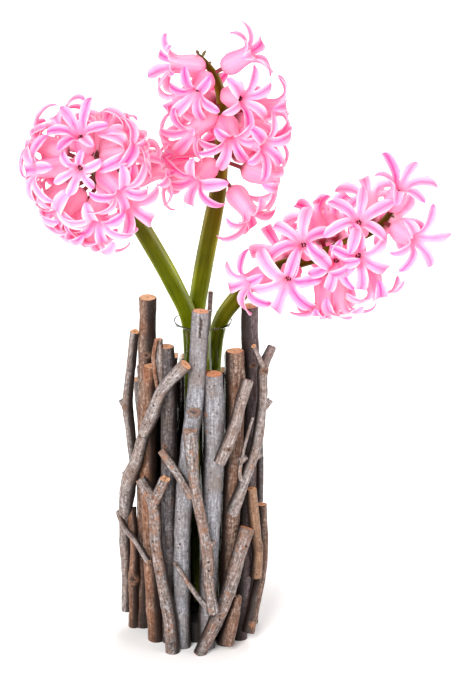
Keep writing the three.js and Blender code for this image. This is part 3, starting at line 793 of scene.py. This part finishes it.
def twig_stick(shape, rows, seed, marks, ragged, inner_shade_depth):
    """One stick, foot to top: a lumpy bark tube with a cut or torn face at each end.

    Its last argument is how deep the painted shade on its inner side is: most for the twigs of the
    ring.
    """
    rng = np.random.default_rng(seed)
    rows = sorted(rows, key=lambda row: row[2])
    places, radii, run = spline([(*ring_point(*row[:3]), row[3]) for row in rows], TWIG_STEP)
    heights = places[:, 2]
    outward = rows[len(rows) // 2][0]
    tangent, front, right = path_frame(places, ring_point(outward, 1.0, 0.0))
    # Thicker sticks have more sides
    angle = ring_angles(30 if radii.max() > 4 else 24 if radii.max() > 2.4 else 16)
    around, reach = np.meshgrid(angle, run)
    thick = lumpy(rng, radii, around, reach)
    spot = np.full((*around.shape, 3), USUAL_BARK["spot"])
    nearest = np.full(around.shape, CLEAR_OF_MARKS)
    stuck_on = []
    for height, turn, kind, size in marks:
        row = int(np.argmin(np.abs(heights - height)))
        facing = math.radians(turn) - math.radians(outward)
        if abs(heights[row] - height) > MARK_MISS:
            continue
        if kind in MARK_CODES:
            arc = ((around - facing + math.pi) % TURN - math.pi) * radii[row]
            carve(kind, size, arc, reach - run[row], thick, spot, nearest)
        else:
            stuck_on.append((kind, row, facing, size))
    # Each stick shows another stretch of the bark's pattern
    offset = rng.uniform(-60, 60, 3)[2]
    # Painted light: full on the outward side, less on the inner side and near the ground, where the
    # bark is painted darker as shade
    lit = 1 - inner_shade_depth + inner_shade_depth * np.cos(around) - FOOT_SHADE * np.exp(-heights[:, None] / FOOT_SHADE_HEIGHT)
    shape.add_grid(
        circle(places, front, right, thick, angle), BARK_LOOK, True,
        grain=round_grain(thick, angle, reach + offset), spot=spot, side=lit[..., None],
    )
    rough = rng.uniform(-1, 1, (2, len(angle)))
    rough = (rough + np.roll(rough, 1, axis=1) + np.roll(rough, 2, axis=1)) / 2
    for end, way in ((0, -1.0), (-1, 1.0)):
        tear = rough[end] * (0.8 if ragged else 0.08) * min(1.0, radii[end] / 3)
        rings = []
        grains = []
        for share, rise in END_RINGS:
            lift = way * (rise + tear * share * (rise > 0))
            ring = circle(places[end], front[end], right[end], thick[end] * share, angle)
            rings.append(ring + tangent[end] * lift[:, None])
            grains.append(round_grain(thick[end] * share, angle, run[end] + lift + offset))
        shape.add_grid(
            np.array(rings), TORN if ragged else SAWN, True,
            grain=np.array(grains), side=lit[end][:, None],
        )
    for kind, row, facing, size in stuck_on:
        out = front[row] * math.cos(facing) + right[row] * math.sin(facing)
        surface = places[row] + out * thick[row].mean()
        if kind == "nail":
            nail_head(shape, surface, tangent[row], out, size)
        else:
            side_stub(shape, rng, surface, tangent[row], out, size)


def nail_head(shape, surface, tangent, out, size):
    side = np.cross(tangent, out)
    rings = [
        circle(surface + out * lift, tangent, side, size * share, ring_angles(NAIL_SIDES))
        for share, lift in NAIL_RINGS
    ]
    shape.add_grid(np.array(rings), NAIL_LOOK, True)


def side_stub(shape, rng, surface, tangent, out, size):
    """A side shoot snapped off short: flared at its foot, with a torn end."""
    axis = unit(out + 0.7 * tangent)
    side = unit(np.cross(tangent, out))
    other = np.cross(axis, side)
    angle = ring_angles(STUB_SIDES)
    tear = rng.uniform(-0.5, 0.5, STUB_SIDES)
    rings = []
    grains = []
    for share, reach in STUB_RINGS:
        radius = (0.5 * size + 0.5) * share
        lift = reach * size + tear * (reach > 0.9) * share
        rings.append(circle(surface, side, other, radius, angle) + axis * lift[:, None])
        grains.append(round_grain(radius, angle, lift))
    shape.add_grid(np.array(rings), STUB_LOOKS, True, grain=np.array(grains))


def build_twigs():
    backs = [BACK_THIN] + [back_crossing(*crossing) for crossing in BACK_CROSSING]
    # Kind, its twigs as lists of sticks, their barks and slot, and how dark the painted shade on the
    # inner side is
    kinds = [
        ("upright_twig", [[rows] for rows in FRONT_UPRIGHTS + back_uprights()],
         UPRIGHT_BARKS + BACK_UPRIGHT_BARKS, "bark_grey", 1.0),
        ("outer_twig", [[rows] for rows in OUTER_TWIGS], OUTER_BARKS, "bark_brown", 0.75),
        ("forked_twig", FORKED_TWIGS, FORKED_BARKS, "bark_grey", 0.75),
        ("back_twig", [[rows] for rows in backs], BACK_BARKS, "bark_brown", 0.2),
    ]
    seed = 500
    for kind, twigs, barks, slot, inner_shade_depth in kinds:
        for number, (sticks, tone) in enumerate(zip(twigs, barks), start=1):
            node = f"{kind}_{number:02d}"
            ragged = kind == "forked_twig" or node in TORN_TWIGS
            shape = Shape(**USUAL_BARK)
            for rows in sticks:
                seed += 1
                twig_stick(shape, rows, seed, MARKS.get(node, []), ragged, inner_shade_depth)
            wood = RED_CUT if node in RED_CUTS else OLD_CUT if node in OLD_CUTS else CUT_WOOD
            materials = [BARKS[tone], wood, NAIL]
            piece = shape.build(f"bark_{node}", materials, weld=0.004, crease=50, level=0)
            settle(piece, slot, node)


build_twigs()

# Glass, water and plate

VASE_X = 3.3
VASE_SIDES = 96
# Radius and height, up the outside and down the inside
VASE_PROFILE = [
    (0, 12.3), (9, 12.3), (12, 12.35), (13.4, 12.9), (14.3, 14), (14.5, 16), (14.5, 60),
    (14.5, 110), (14.5, 150), (14.45, 156), (14.1, 160), (13.6, 164), (13.2, 168),
    (13.35, 172), (14.1, 176.5), (15.1, 180.5), (15.85, 182.7), (16.0, 183.2), (15.85, 183.5),
    (15.55, 183.45), (15.3, 183.0), (14.55, 180.7), (13.55, 176.6), (12.8, 172.1),
    (12.65, 168), (13.05, 164), (13.55, 160), (13.9, 156), (13.95, 150), (13.95, 110), (13.95, 60),
    (13.95, 20), (13.0, 16.6), (11, 15.5), (8, 15.3), (0, 15.3),
]
WATER_PROFILE = [
    (0, 15.6), (8, 15.6), (10.8, 15.9), (12.7, 16.9), (13.6, 20), (13.6, 60), (13.6, 110),
    (13.6, 131.6), (13.45, 132), (12.7, 131.7), (11.2, 131.45), (8, 131.4), (0, 131.4),
]


def turned(name, profile, material):
    """A profile of radius and height turned round the vase's axis."""
    shape = Shape()
    rings = [
        circle(RIGHT * VASE_X + UP * height, RIGHT, BACK, radius, ring_angles(VASE_SIDES))
        for radius, height in profile
    ]
    shape.add_grid(np.array(rings), 0, True)
    return shape.build(name, [material], weld=0.01)


settle(turned("glass_tube", VASE_PROFILE, GLASS), "clear_glass", "glass_vase")
settle(turned("water_in_tube", WATER_PROFILE, WATER), "water", "water")

disc = frame["nodes"]["base_disc"]
disc.data.materials.clear()
disc.data.materials.append(PLATE)

# Stems: x, y, z and radius

STEMS = {
    "left": [
        (-2.6, -2.6, 16, 4.3), (-2.7, -2.6, 90, 4.3), (-2.9, -2.5, 165, 4.3), (-4.4, -3, 185, 4.7),
        (-13, -6, 207, 5.1), (-24, -13, 231, 5.1), (-36, -24, 256, 4.9),
    ],
    "centre": [
        (3.3, 6.2, 16, 4.4), (1.6, 6.2, 90, 4.4), (-0.1, 6.2, 165, 4.4), (-0.3, 6.2, 185, 4.8),
        (3.2, 6, 210, 5.2), (8.5, 4, 239, 5.1),
    ],
    "right": [
        (9.2, -2.5, 16, 4.2), (9.3, -2.5, 90, 4.2), (9.5, -2.3, 166, 4.2), (13.2, -2.8, 184, 4.3),
        (20.6, -4, 196, 4.7), (29.5, -7, 207, 4.6),
    ],
}
RACHISES = {
    "left": [(-36, -24, 256, 4.6), (-43, -34, 269, 4), (-50, -50, 283, 3.2), (-55, -66, 297, 2)],
    "centre": [(8.5, 4, 239, 4.9), (12, 1.6, 260, 4.6), (14, -3, 293, 3.5), (14, -5, 308, 3),
               (10.5, -7, 323, 2.4), (2, -9, 336, 1.2)],
    "right": [(29.5, -7, 207, 4.4), (45, -10, 217, 4), (68, -14, 226, 3.4), (87, -18, 237, 2.7),
              (98, -20, 244, 2.2), (107, -22, 257, 1.4)],
}
STEM_STEP = 1.6
STEM_SIDES = 22
STEM_SEED = 70
# The last radii of a stem, rounded off
STEM_TIP = (0.95, 0.8, 0.5)
RIPENS_OVER = 80


def stem_parts(side, seed):
    """A stem from its cut end to its head's tip, faintly ribbed, in two lengths joined unseen.

    It ripens from green to brown round the foot of the head.
    """
    places, radii, run = spline(STEMS[side] + RACHISES[side][1:], STEM_STEP)
    foot = np.array(STEMS[side][-1][:3])
    joint = int(np.argmin(np.linalg.norm(places - foot, axis=1)))
    radii[-3:] *= STEM_TIP
    front, right = path_frame(places, -BACK)[1:]
    around, reach = np.meshgrid(ring_angles(STEM_SIDES), run)
    ribs = 0.012 * np.cos(5 * around + 0.02 * reach) + 0.008 * np.sin(3 * around + reach / 19)
    thick = radii[:, None] * (0.985 + ribs)
    points = circle(places, front, right, thick, around)
    ripe = ((reach - run[joint] + RIPENS_OVER * 0.6) / RIPENS_OVER).clip(0, 1)[..., None]
    offset = np.random.default_rng(seed).uniform(-40, 40)
    grain = round_grain(thick, around, reach + offset)
    pieces = []
    for name, part in (("scape", slice(0, joint + 1)), ("rachis", slice(joint, None))):
        shape = Shape(grain=0.0, marks=0.0)
        shape.add_grid(points[part], 0, True, grain=grain[part], marks=ripe[part])
        for end in (0, -1):
            ring = points[part][end]
            cap = np.array([ring, np.broadcast_to(places[part][end], ring.shape)])
            shape.add_grid(cap, 0, True, grain=grain[part][end], marks=ripe[part][end])
        pieces.append(shape.build(f"{side}_{name}", [STEM], weld=0.01, crease=60))
    return pieces


stems = []
for number, side in enumerate(STEMS):
    scape, rachis = stem_parts(side, STEM_SEED + number)
    stems += [scape, rachis]
    settle(scape, "stem_green", f"{side}_stem")
    settle(rachis, "stem_green")

# Flower heads

# Distance from the head's foot, turn round its stem, lean from its tip, length, roll, how far
# out the tepals reach and how high their tips rise past the mouth
FLORETS = {
    "left": [
        (61, 166, 9, 24, 40, 18, 4), (61, -4, 40, 23, 50, 13.5, 1), (59, 39, 85, 27, 20, 20, -3),
        (56, 110, 68, 25, 0, 20, -4), (56, 85, 65, 25, 35, 20, -5), (53, -110, 67, 32, 15, 21, -2),
        (53, -75, 60, 31, 50, 20, -5), (40, -65, 84, 34, 5, 20, -5), (40, -38, 76, 31, 25, 20, -3),
        (36, -38, 102, 32, 40, 21, -5), (36, 0, 76, 30, 10, 20, -3), (29, -28, 115, 32, 30, 22, -3),
        (26, 39, 67, 27, 55, 20, -5), (40, 175, 87, 28, 20, 20, -2), (49, -142, 62, 30, 0, 20, -3),
        (24, 105, 100, 27, 45, 20, -5), (33, 140, 105, 27, 30, 20, -4), (40, -100, 80, 27, 15, 20, -4),
        (36, -165, 75, 27, 40, 20, -4),
    ],
    "centre": [
        (88, 81, 84, 24, 33, 18.5, 3), (92, -60, 43, 21, 16, 17, 5), (90, -25, 87, 23, 12, 18, 1),
        (76, 37, 86, 22, 48, 19, 3), (65, 92, 85, 31, 10, 20, -3), (66, 12, 110, 23, 35, 20, 3),
        (57, 46, 91, 31, 45, 19.5, 1), (71, -45, 110, 25, 17, 19.5, 3), (40, -34, 106, 25, 42, 21, 0),
        (29, 48, 122, 28, 28, 23, -2), (37, 86, 107, 30, 30, 21, -4), (34, -88, 105, 29, 28, 20, -4),
        (63, 132, 112, 27, 50, 20, -4), (85, -104, 105, 27, 25, 19, -3), (48, -91, 104, 28, 5, 20, -4),
    ],
    "right": [
        (66, -53, 64, 26, 51, 21, 1), (88, -36, 27, 23, 16, 19.5, 4), (83, 32, 68, 26, 36, 21.5, 3),
        (39, -64, 86, 25, 0, 20, -4), (57, -18, 93, 25, 54, 18, 2), (28, -22, 94, 25, 43, 21, -5),
        (19, -34, 130, 24, 55, 19, -2), (46, 48, 115, 29, 15, 19.5, 3), (67, 53, 98, 31, 35, 20, -4),
        (46, -166, 96, 26, 15, 20, -2), (74, -167, 83, 25, 45, 20, -3), (61, -9, 72, 26, 5, 19, -3),
        (53, 56, 115, 31, 25, 20, -4), (79, 151, 88, 26, 40, 20, -3), (26, 160, 112, 25, 30, 20, -3),
    ],
}
# Seed, count, first and last distance, turn and its spread, and the ranges of the rest
FAR_FLORETS = {
    "centre": (7, 3, 30, 78, 180, 45),
    "right": (11, 2, 18, 66, 190, 40),
}
FAR_RANGES = [(95, 110), (25, 28), (0, 60), (19, 21), (-5, -2)]
GOLDEN_ANGLE = 137.5


def far_florets(seed, count, first, last, turn, spread):
    draws = Draws(seed)
    rows = []
    for i in range(count):
        distance = first + (last - first) * (i + 0.5) / count
        swing = ((i * GOLDEN_ANGLE % 360) / 360 - 0.5) * 2 * spread
        rows.append((distance, turn + swing, *[draws.between(pair) for pair in FAR_RANGES]))
    return rows


def floret_frame(places, run, distance, turn, lean, roll):
    """Where a floret leaves its stem, and its axes: two across it and one along it."""
    row = int(np.argmin(np.abs(run - distance)))
    tip = unit(places[min(row + 1, len(run) - 1)] - places[max(row - 1, 0)])
    back = unit(np.cross(tip, RIGHT))
    right = unit(np.cross(back, tip))
    turn, lean, roll = np.radians([turn, lean, roll])
    side = right * math.sin(turn) - back * math.cos(turn)
    facing = unit(tip * math.cos(lean) + side * math.sin(lean))
    up = BACK if abs(facing[2]) > 0.95 else UP
    up = unit(up - facing * (up @ facing))
    first = up * math.cos(roll) + np.cross(facing, up) * math.sin(roll)
    return places[row], np.array([first, np.cross(facing, first), facing])


TEPAL_LOOK, ANTHER_LOOK, BRACT_LOOK, BUD_LOOK = range(4)
# Tube of a floret: height from its mouth, radius, how deep its six grooves are
TUBE = [
    (-18.6, 1.15, 0), (-18.0, 2.2, 0.02), (-17.0, 3.9, 0.05), (-15.4, 5.3, 0.07),
    (-13.2, 6.15, 0.09), (-10.6, 6.2, 0.1), (-8.0, 5.7, 0.1), (-5.4, 5.2, 0.1), (-3.0, 4.95, 0.1),
    (-1.0, 5.05, 0.1),
]
THROAT = [(-1.2, 3.3), (-2.6, 2.3), (-4.2, 1.9), (-8.0, 1.5), (-8.4, 0.02)]
THROAT_GROOVE = 0.1
# Stalk: where it ends below the mouth, its radius at its foot and how much it narrows
STALK_TOP = -18.9
STALK_RADIUS = 1.2
STALK_TAPER = 0.1
STALK_SHARES = np.linspace(0, 1, 4)[:-1]
# The columns across a tepal and its sixth of the tube, the rows along it, and where it starts
COLUMNS = np.array([-1.0, -0.86, -0.6, -0.3, 0.0, 0.3, 0.6, 0.86, 1.0])
TEPAL_ROWS = 17
TEPAL_SHARES = 1 - (1 - np.linspace(0, 1, TEPAL_ROWS)) ** 1.25
ROOT = 4.95

# Along a tepal: its half width, how far its edges rise into a channel, and its thickness
SHARES = [0, 0.14, 0.3, 0.46, 0.6, 0.75, 0.87, 0.95, 1.0]
HALF_WIDTHS = [2.6, 2.95, 3.4, 3.65, 3.6, 3.1, 2.25, 1.3, 0.15]
CHANNEL = [0.75, 1.05, 1.2, 1.15, 1.0, 0.75, 0.5, 0.25, 0.1]
THICKNESS = [1.1, 1.0, 0.9, 0.8, 0.75, 0.7, 0.6, 0.5, 0.3]
USUAL_ARC = 18.0

# Bend along a tepal, from the line of its tube, and how much more or less of it there can be
BEND_SHARES = [0, 0.12, 0.3, 0.5, 0.72, 1.0]
BENDS = [14, 38, 68, 88, 100, 118]
CURLS = np.linspace(0.5, 1.7, 49)

# For each row of a sixth of a floret: how far along it lies, from the stalk's -1 to the tip's 1,
# how far across its look counts, and whether it is on the inside
TUBE_ROWS = len(STALK_SHARES) + len(TUBE)
LEVELS = np.array([
    *(0.15 * STALK_SHARES - 1.1), *[-0.95 * height / TUBE[0][0] for height, *_ in TUBE],
    *TEPAL_SHARES, *TEPAL_SHARES[::-1],
    *[-0.1 * height / THROAT[-1][0] - 0.02 for height, _ in THROAT],
])[:, None]
ACROSS = np.tile(np.abs(COLUMNS), (len(LEVELS), 1))
ACROSS[:TUBE_ROWS] = 0.15 + 0.5 * np.abs(COLUMNS)
ACROSS[-len(THROAT):] = 0.3
INSIDE = (np.arange(len(LEVELS)) >= TUBE_ROWS + TEPAL_ROWS)[:, None, None]
# Veins: half the width that they spread over in tube and throat, how far apart two tepals'
# patterns lie, and how far along the pattern a whole tepal reaches
TUBE_HALF = 3.0
THROAT_HALF = 2.0
VEINS_APART = 20
VEIN_STRETCH = 1.5 * MM


def smooth_interp(at, knots, values):
    """Values between knots without corners."""
    slopes = np.gradient(values, knots)
    row = np.clip(np.searchsorted(knots, at) - 1, 0, len(knots) - 2)
    knots = np.asarray(knots, float)
    values = np.asarray(values, float)
    span = knots[row + 1] - knots[row]
    t = (at - knots[row]) / span
    return (
        values[row] * (1 + 2 * t) * (1 - t) ** 2
        + slopes[row] * span * t * (1 - t) ** 2
        + values[row + 1] * t ** 2 * (3 - 2 * t)
        + slopes[row + 1] * span * t ** 2 * (t - 1)
    )


def tepal_curve(reach, rise, hook):
    """The bend and arc length that bring a tepal's tip out to its reach and up to its rise."""
    step = np.diff(TEPAL_SHARES, prepend=0)
    usual = smooth_interp(TEPAL_SHARES, BEND_SHARES, BENDS)
    bends = np.radians(np.outer(CURLS, usual) + hook * TEPAL_SHARES ** 6)
    out = (np.sin(bends) * step).sum(axis=1)
    up = (np.cos(bends) * step).sum(axis=1)
    curl = np.interp(-rise / (reach - ROOT), -up / out, CURLS)
    bend = np.radians(curl * usual + hook * TEPAL_SHARES ** 6)
    return bend, (reach - ROOT) / (np.sin(bend) * step).sum()


def tepal(rng, radial, sideways, length, reach, rise, outer_whorl):
    """The outer and inner skin of a channelled tepal that bends out and back, and half widths."""
    share = TEPAL_SHARES
    v = COLUMNS
    bend, arc = tepal_curve(
        reach * rng.uniform(0.87, 1.03), rise + rng.uniform(-4, 3.5), rng.uniform(-20, 75),
    )
    size = (arc / USUAL_ARC) ** 0.5
    widths = smooth_interp(share, SHARES, HALF_WIDTHS) * size * rng.uniform(0.92, 1.05)
    widths = widths * (1.04 if outer_whorl else 0.94)
    channel = smooth_interp(share, SHARES, CHANNEL) * rng.uniform(0.6, 1.4)
    step = arc * np.diff(share, prepend=0)
    out = ROOT + (0.0 if outer_whorl else -0.25) + np.cumsum(np.sin(bend) * step)
    lift = length + np.cumsum(np.cos(bend) * step)
    twist = math.radians(rng.uniform(-26, 26)) * share[:, None]
    sway = rng.uniform(-2.8, 2.8) * share ** 2
    ruffle_phase, ruffle_other = rng.uniform(0, 6.3, 2)
    centre = radial * out[:, None] + UP * lift[:, None] + sideways * sway[:, None]
    normal = UP * np.sin(bend)[:, None] - radial * np.cos(bend)[:, None]
    across = sideways * np.cos(twist) + normal * np.sin(twist)
    lifted = (normal * np.cos(twist) - sideways * np.sin(twist))[:, None]
    ruffle = 0.28 * np.sin(share[:, None] * 9 + ruffle_phase + np.sign(v) * ruffle_other)
    dish = channel[:, None] * np.abs(v) ** 1.7 + ruffle * v ** 4 * share[:, None]
    flat = centre[:, None] + across[:, None] * (widths[:, None] * v)[..., None]
    middle = flat + lifted * dish[..., None]
    lens = smooth_interp(share, SHARES, THICKNESS)[:, None] * np.sqrt(1 - v ** 2) / 2
    keel = 0.25 * np.exp(-(v / 0.16) ** 2) * (1 - share[:, None])
    outer = middle - lifted * (lens + keel)[..., None]
    inner = middle + lifted * (lens - keel * 0.8)[..., None]
    return outer, inner, widths


def floret(shape, rng, origin, axes, length, reach, rise):
    """One floret in six parts: a sixth of the stalk and swollen tube, a tepal and the throat."""
    parts = []
    for k in range(6):
        turn = k * TURN / 6
        radial = np.array([math.cos(turn), math.sin(turn), 0.0])
        sideways = np.cross(UP, radial)
        # How saturated this tepal is
        own = rng.uniform()

        def ring(height, radius, groove):
            drawn = radius * (1 - groove * (1 - np.cos(math.pi * COLUMNS)) / 2)
            return circle(UP * height, radial, sideways, drawn, COLUMNS * TURN / 12)

        outer, inner, widths = tepal(rng, radial, sideways, length, reach, rise, k % 2 == 0)
        stalk = [
            ring(share * (length + STALK_TOP), STALK_RADIUS - STALK_TAPER * share, 0)
            for share in STALK_SHARES
        ]
        tube = [ring(length + height, radius, groove) for height, radius, groove in TUBE]
        throat = [ring(length + height, radius, THROAT_GROOVE) for height, radius in THROAT]
        grid = np.array([*stalk, *tube, *outer, *inner[::-1], *throat])
        half = np.array([
            *[TUBE_HALF] * TUBE_ROWS, *widths, *widths[::-1], *[THROAT_HALF] * len(THROAT),
        ])[:, None]
        # Each tepal has its own stretch of the veins' pattern, which runs long along it
        across = (half * COLUMNS + VEINS_APART * k) * MM
        vein = together(across, own * 0.3, LEVELS * VEIN_STRETCH)
        bloom = together(LEVELS, ACROSS, own)
        parts.append(shape.add_grid(
            origin + grid @ axes, TEPAL_LOOK, bloom=bloom, inside=INSIDE, vein=vein,
        ))
    # The gaps at the mouth between each part's tube, tepal and throat and the next tepal
    gaps = [
        [part[TUBE_ROWS - 1][-1], after[TUBE_ROWS][0], part[-len(THROAT)][-1], part[TUBE_ROWS][-1]]
        for part, after in zip(parts, parts[1:] + parts[:1])
    ]
    shape.add_faces(np.array(gaps), np.full(len(gaps), TEPAL_LOOK))
    anthers(shape, rng, origin, axes, length)


# Anther: height and radius of its rings, how far out it stands and how deep below the mouth
ANTHER_RINGS = [(0, 0.05), (0.5, 0.35), (1.5, 0.42), (2.3, 0.35), (2.8, 0.04)]
ANTHER_OUT = 1.2
ANTHER_DEPTH = 6.2


def anthers(shape, rng, origin, axes, length):
    """Six ripe anthers on the wall of the throat."""
    around = ring_angles(6)
    for angle in around + rng.uniform(-0.2, 0.2, 6):
        lean = rng.uniform(-0.1, 0.3)
        out = np.array([math.cos(angle), math.sin(angle), 0.0])
        foot = ANTHER_OUT * out + (length - ANTHER_DEPTH) * UP
        axis = unit(UP - lean * out)
        side = unit(np.cross(axis, out + 0.1 * UP))
        rings = [
            circle(foot + axis * height, side, np.cross(axis, side), radius, around)
            for height, radius in ANTHER_RINGS
        ]
        shape.add_grid(origin + np.array(rings) @ axes, ANTHER_LOOK, True)


def bract(shape, rng, origin, axes):
    """A small dry scale under a floret's stalk."""
    long, wide = rng.uniform(2.4, 4.4), rng.uniform(0.7, 1.1)
    share = np.linspace(0, 1, 5)[:, None]
    v = np.array([-1.0, 0.0, 1.0])
    out = -(1.9 + 0.5 * share + 0.25 * v ** 2)
    outer = together(out, wide * (1 - share ** 2) * v, share * long)
    inner = outer + 0.35 * RIGHT
    shape.add_grid(origin + np.concatenate([outer, inner[::-1]]) @ axes, BRACT_LOOK)


# Buds that never opened round a head's tip: how many, over what length, how long they are
BUDS = {"left": (30, 46, 9.5), "centre": (6, 14, 4.2), "right": (5, 12, 4.2)}
# Share of a bud's length, and its radius there in a bud 6 mm long
BUD_PROFILE = [(0, 0.35), (0.1, 0.5), (0.3, 0.9), (0.5, 1.15), (0.72, 0.95), (0.9, 0.45), (1.0, 0.03)]
BUD_LENGTH = 6
BUD_SIDES = 8


def bud(shape, rng, origin, axes, length):
    """A small closed bud, a little bent."""
    bent = np.append(rng.uniform(-0.25, 0.25, 2), 0.0)
    rings = []
    for share, radius in BUD_PROFILE:
        centre = (bent * share ** 2 + UP * share) * length
        radius = radius * length / BUD_LENGTH
        rings.append(circle(centre, RIGHT, BACK, radius, ring_angles(BUD_SIDES)))
    shape.add_grid(origin + np.array(rings) @ axes, BUD_LOOK, True)


HEAD_STEP = 0.4
FLORET_SEED = 1000
BUD_SEED = 90


def flower_head(side, number):
    places, radii, run = spline(RACHISES[side], HEAD_STEP)
    shape = Shape(bloom=0.0, inside=0.0, vein=0.0)
    table = FLORETS[side] + (far_florets(*FAR_FLORETS[side]) if side in FAR_FLORETS else [])
    for i, (distance, turn, lean, length, roll, reach, rise) in enumerate(table):
        rng = np.random.default_rng(FLORET_SEED * (number + 1) + i)
        origin, axes = floret_frame(places, run, distance, turn, lean, roll)
        floret(shape, rng, origin, axes, length, reach, rise)
        bract(shape, rng, origin, axes)
    rng = np.random.default_rng(BUD_SEED + number)
    count, over, size = BUDS[side]
    for i in range(count):
        distance = run[-1] - over * i / count
        lean = rng.uniform(25, 60) + 45 * i / count
        origin, axes = floret_frame(places, run, distance, i * GOLDEN_ANGLE, lean, 0)
        bud(shape, rng, origin, axes, size * rng.uniform(0.75, 1.25))
    bells = shape.build(f"{side}_florets", [TEPAL, ANTHER, BRACT, BUD], weld=0.004)
    settle(bells, "petal_pink", f"{side}_flower_head")
    return bells


heads = [flower_head(side, number) for number, side in enumerate(RACHISES)]

# Floor, room and lamps

FLOOR_REACH = 40
# The sweep's glow: where it starts and is full round the vase, in metres, and how strong
GLOW_START, GLOW_FULL = 0.04, 0.13
GLOW_NEAR, GLOW_FAR = 0.06, 0.6


# A white sweep lit from behind, so that it stays white in the object's own shade
def lit_sweep(node):
    place = node("TexCoord", out="Object")
    far = node("VectorMath", LENGTH, {0: place}, "Value")
    glow = node(
        "MapRange", SMOOTH,
        {
            "Value": far, "From Min": GLOW_START, "From Max": GLOW_FULL,
            "To Min": GLOW_NEAR, "To Max": GLOW_FAR,
        },
    )
    return node(
        "BsdfPrincipled", {},
        {
            "Base Color": colour("#F2F0EE"), "Roughness": 0.9,
            "Emission Color": colour("#FFFFFF"), "Emission Strength": glow,
        },
    )


floor_mesh = bpy.data.meshes.new("floor")
floor_corners = [(x * FLOOR_REACH, y * FLOOR_REACH, 0) for x, y in ((-1, -1), (1, -1), (1, 1), (-1, 1))]
floor_mesh.from_pydata(floor_corners, [], [(0, 1, 2, 3)])
floor_mesh.materials.append(make_material("lit_white_sweep", lit_sweep))
floor = bpy.data.objects.new("floor", floor_mesh)
bpy.context.scene.collection.objects.link(floor)

# Shiny surfaces mirror a white room that is brighter than the light it gives to dull ones
ROOM_LIGHT = 0.45
ROOM_MIRRORED = 1.2


def white_room():
    world = bpy.data.worlds.new("white_studio")
    bpy.context.scene.world = world
    world.use_nodes = True
    tree = world.node_tree
    ray = add_node(tree, "LightPath", out=None).outputs
    mirrored = add_node(
        tree, "Math", {"operation": "MAXIMUM"},
        {0: ray["Is Glossy Ray"], 1: ray["Is Transmission Ray"]},
    )
    strength = add_node(
        tree, "MapRange", {}, {"Value": mirrored, "To Min": ROOM_LIGHT, "To Max": ROOM_MIRRORED},
    )
    background = tree.nodes["Background"].inputs
    background["Color"].default_value = colour("#FFFFFF")
    tree.links.new(strength, background["Strength"])


def soft_lamp(name, place, size, power):
    lamp = bpy.data.objects.new(name, bpy.data.lights.new(name, "AREA"))
    lamp.data.size = size
    lamp.data.energy = power
    lamp.location = place
    lamp.rotation_euler = (Vector(LAMP_AIM) - Vector(place)).to_track_quat("-Z", "Y").to_euler()
    bpy.context.scene.collection.objects.link(lamp)
    return lamp


def lamp_for(pieces, shades, name, place, size, power):
    """A lamp that lights a few pieces alone, in no shade but that of the shading ones."""
    lamp = soft_lamp(name, place, size, power)
    lamp.data.use_shadow = bool(shades)
    linking = lamp.light_linking
    linking.receiver_collection = bpy.data.collections.new(f"{name}_lights")
    linking.blocker_collection = bpy.data.collections.new(f"{name}_shades")
    for piece in pieces:
        linking.receiver_collection.objects.link(piece)
    for piece in shades:
        linking.blocker_collection.objects.link(piece)


white_room()
LAMP_AIM = (0.01, 0.0, 0.18)
soft_lamp("front_softbox", (-0.55, -1.5, 0.95), 0.8, 38)
soft_lamp("right_fill", (1.3, -0.7, 0.8), 0.8, 7)
soft_lamp("back_light", (0.3, 1.2, 1.2), 0.9, 16)
# This one fills the shade that the florets cast on each other
lamp_for(heads, [], "petal_fill", (0.2, -1.6, 0.5), 0.8, 5.5)
# These pale the stems' sides above the twigs, as the white room beside them does
twigs = [piece for piece in bpy.data.objects if piece.name.startswith("bark_")]
lamp_for(stems, twigs, "stem_edge_right", (1.4, 0.3, 0.15), 0.8, 54)
lamp_for(stems, twigs, "stem_edge_left", (-1.4, 0.3, 0.3), 0.8, 42)
bpy.context.scene.view_settings.view_transform = "Standard"
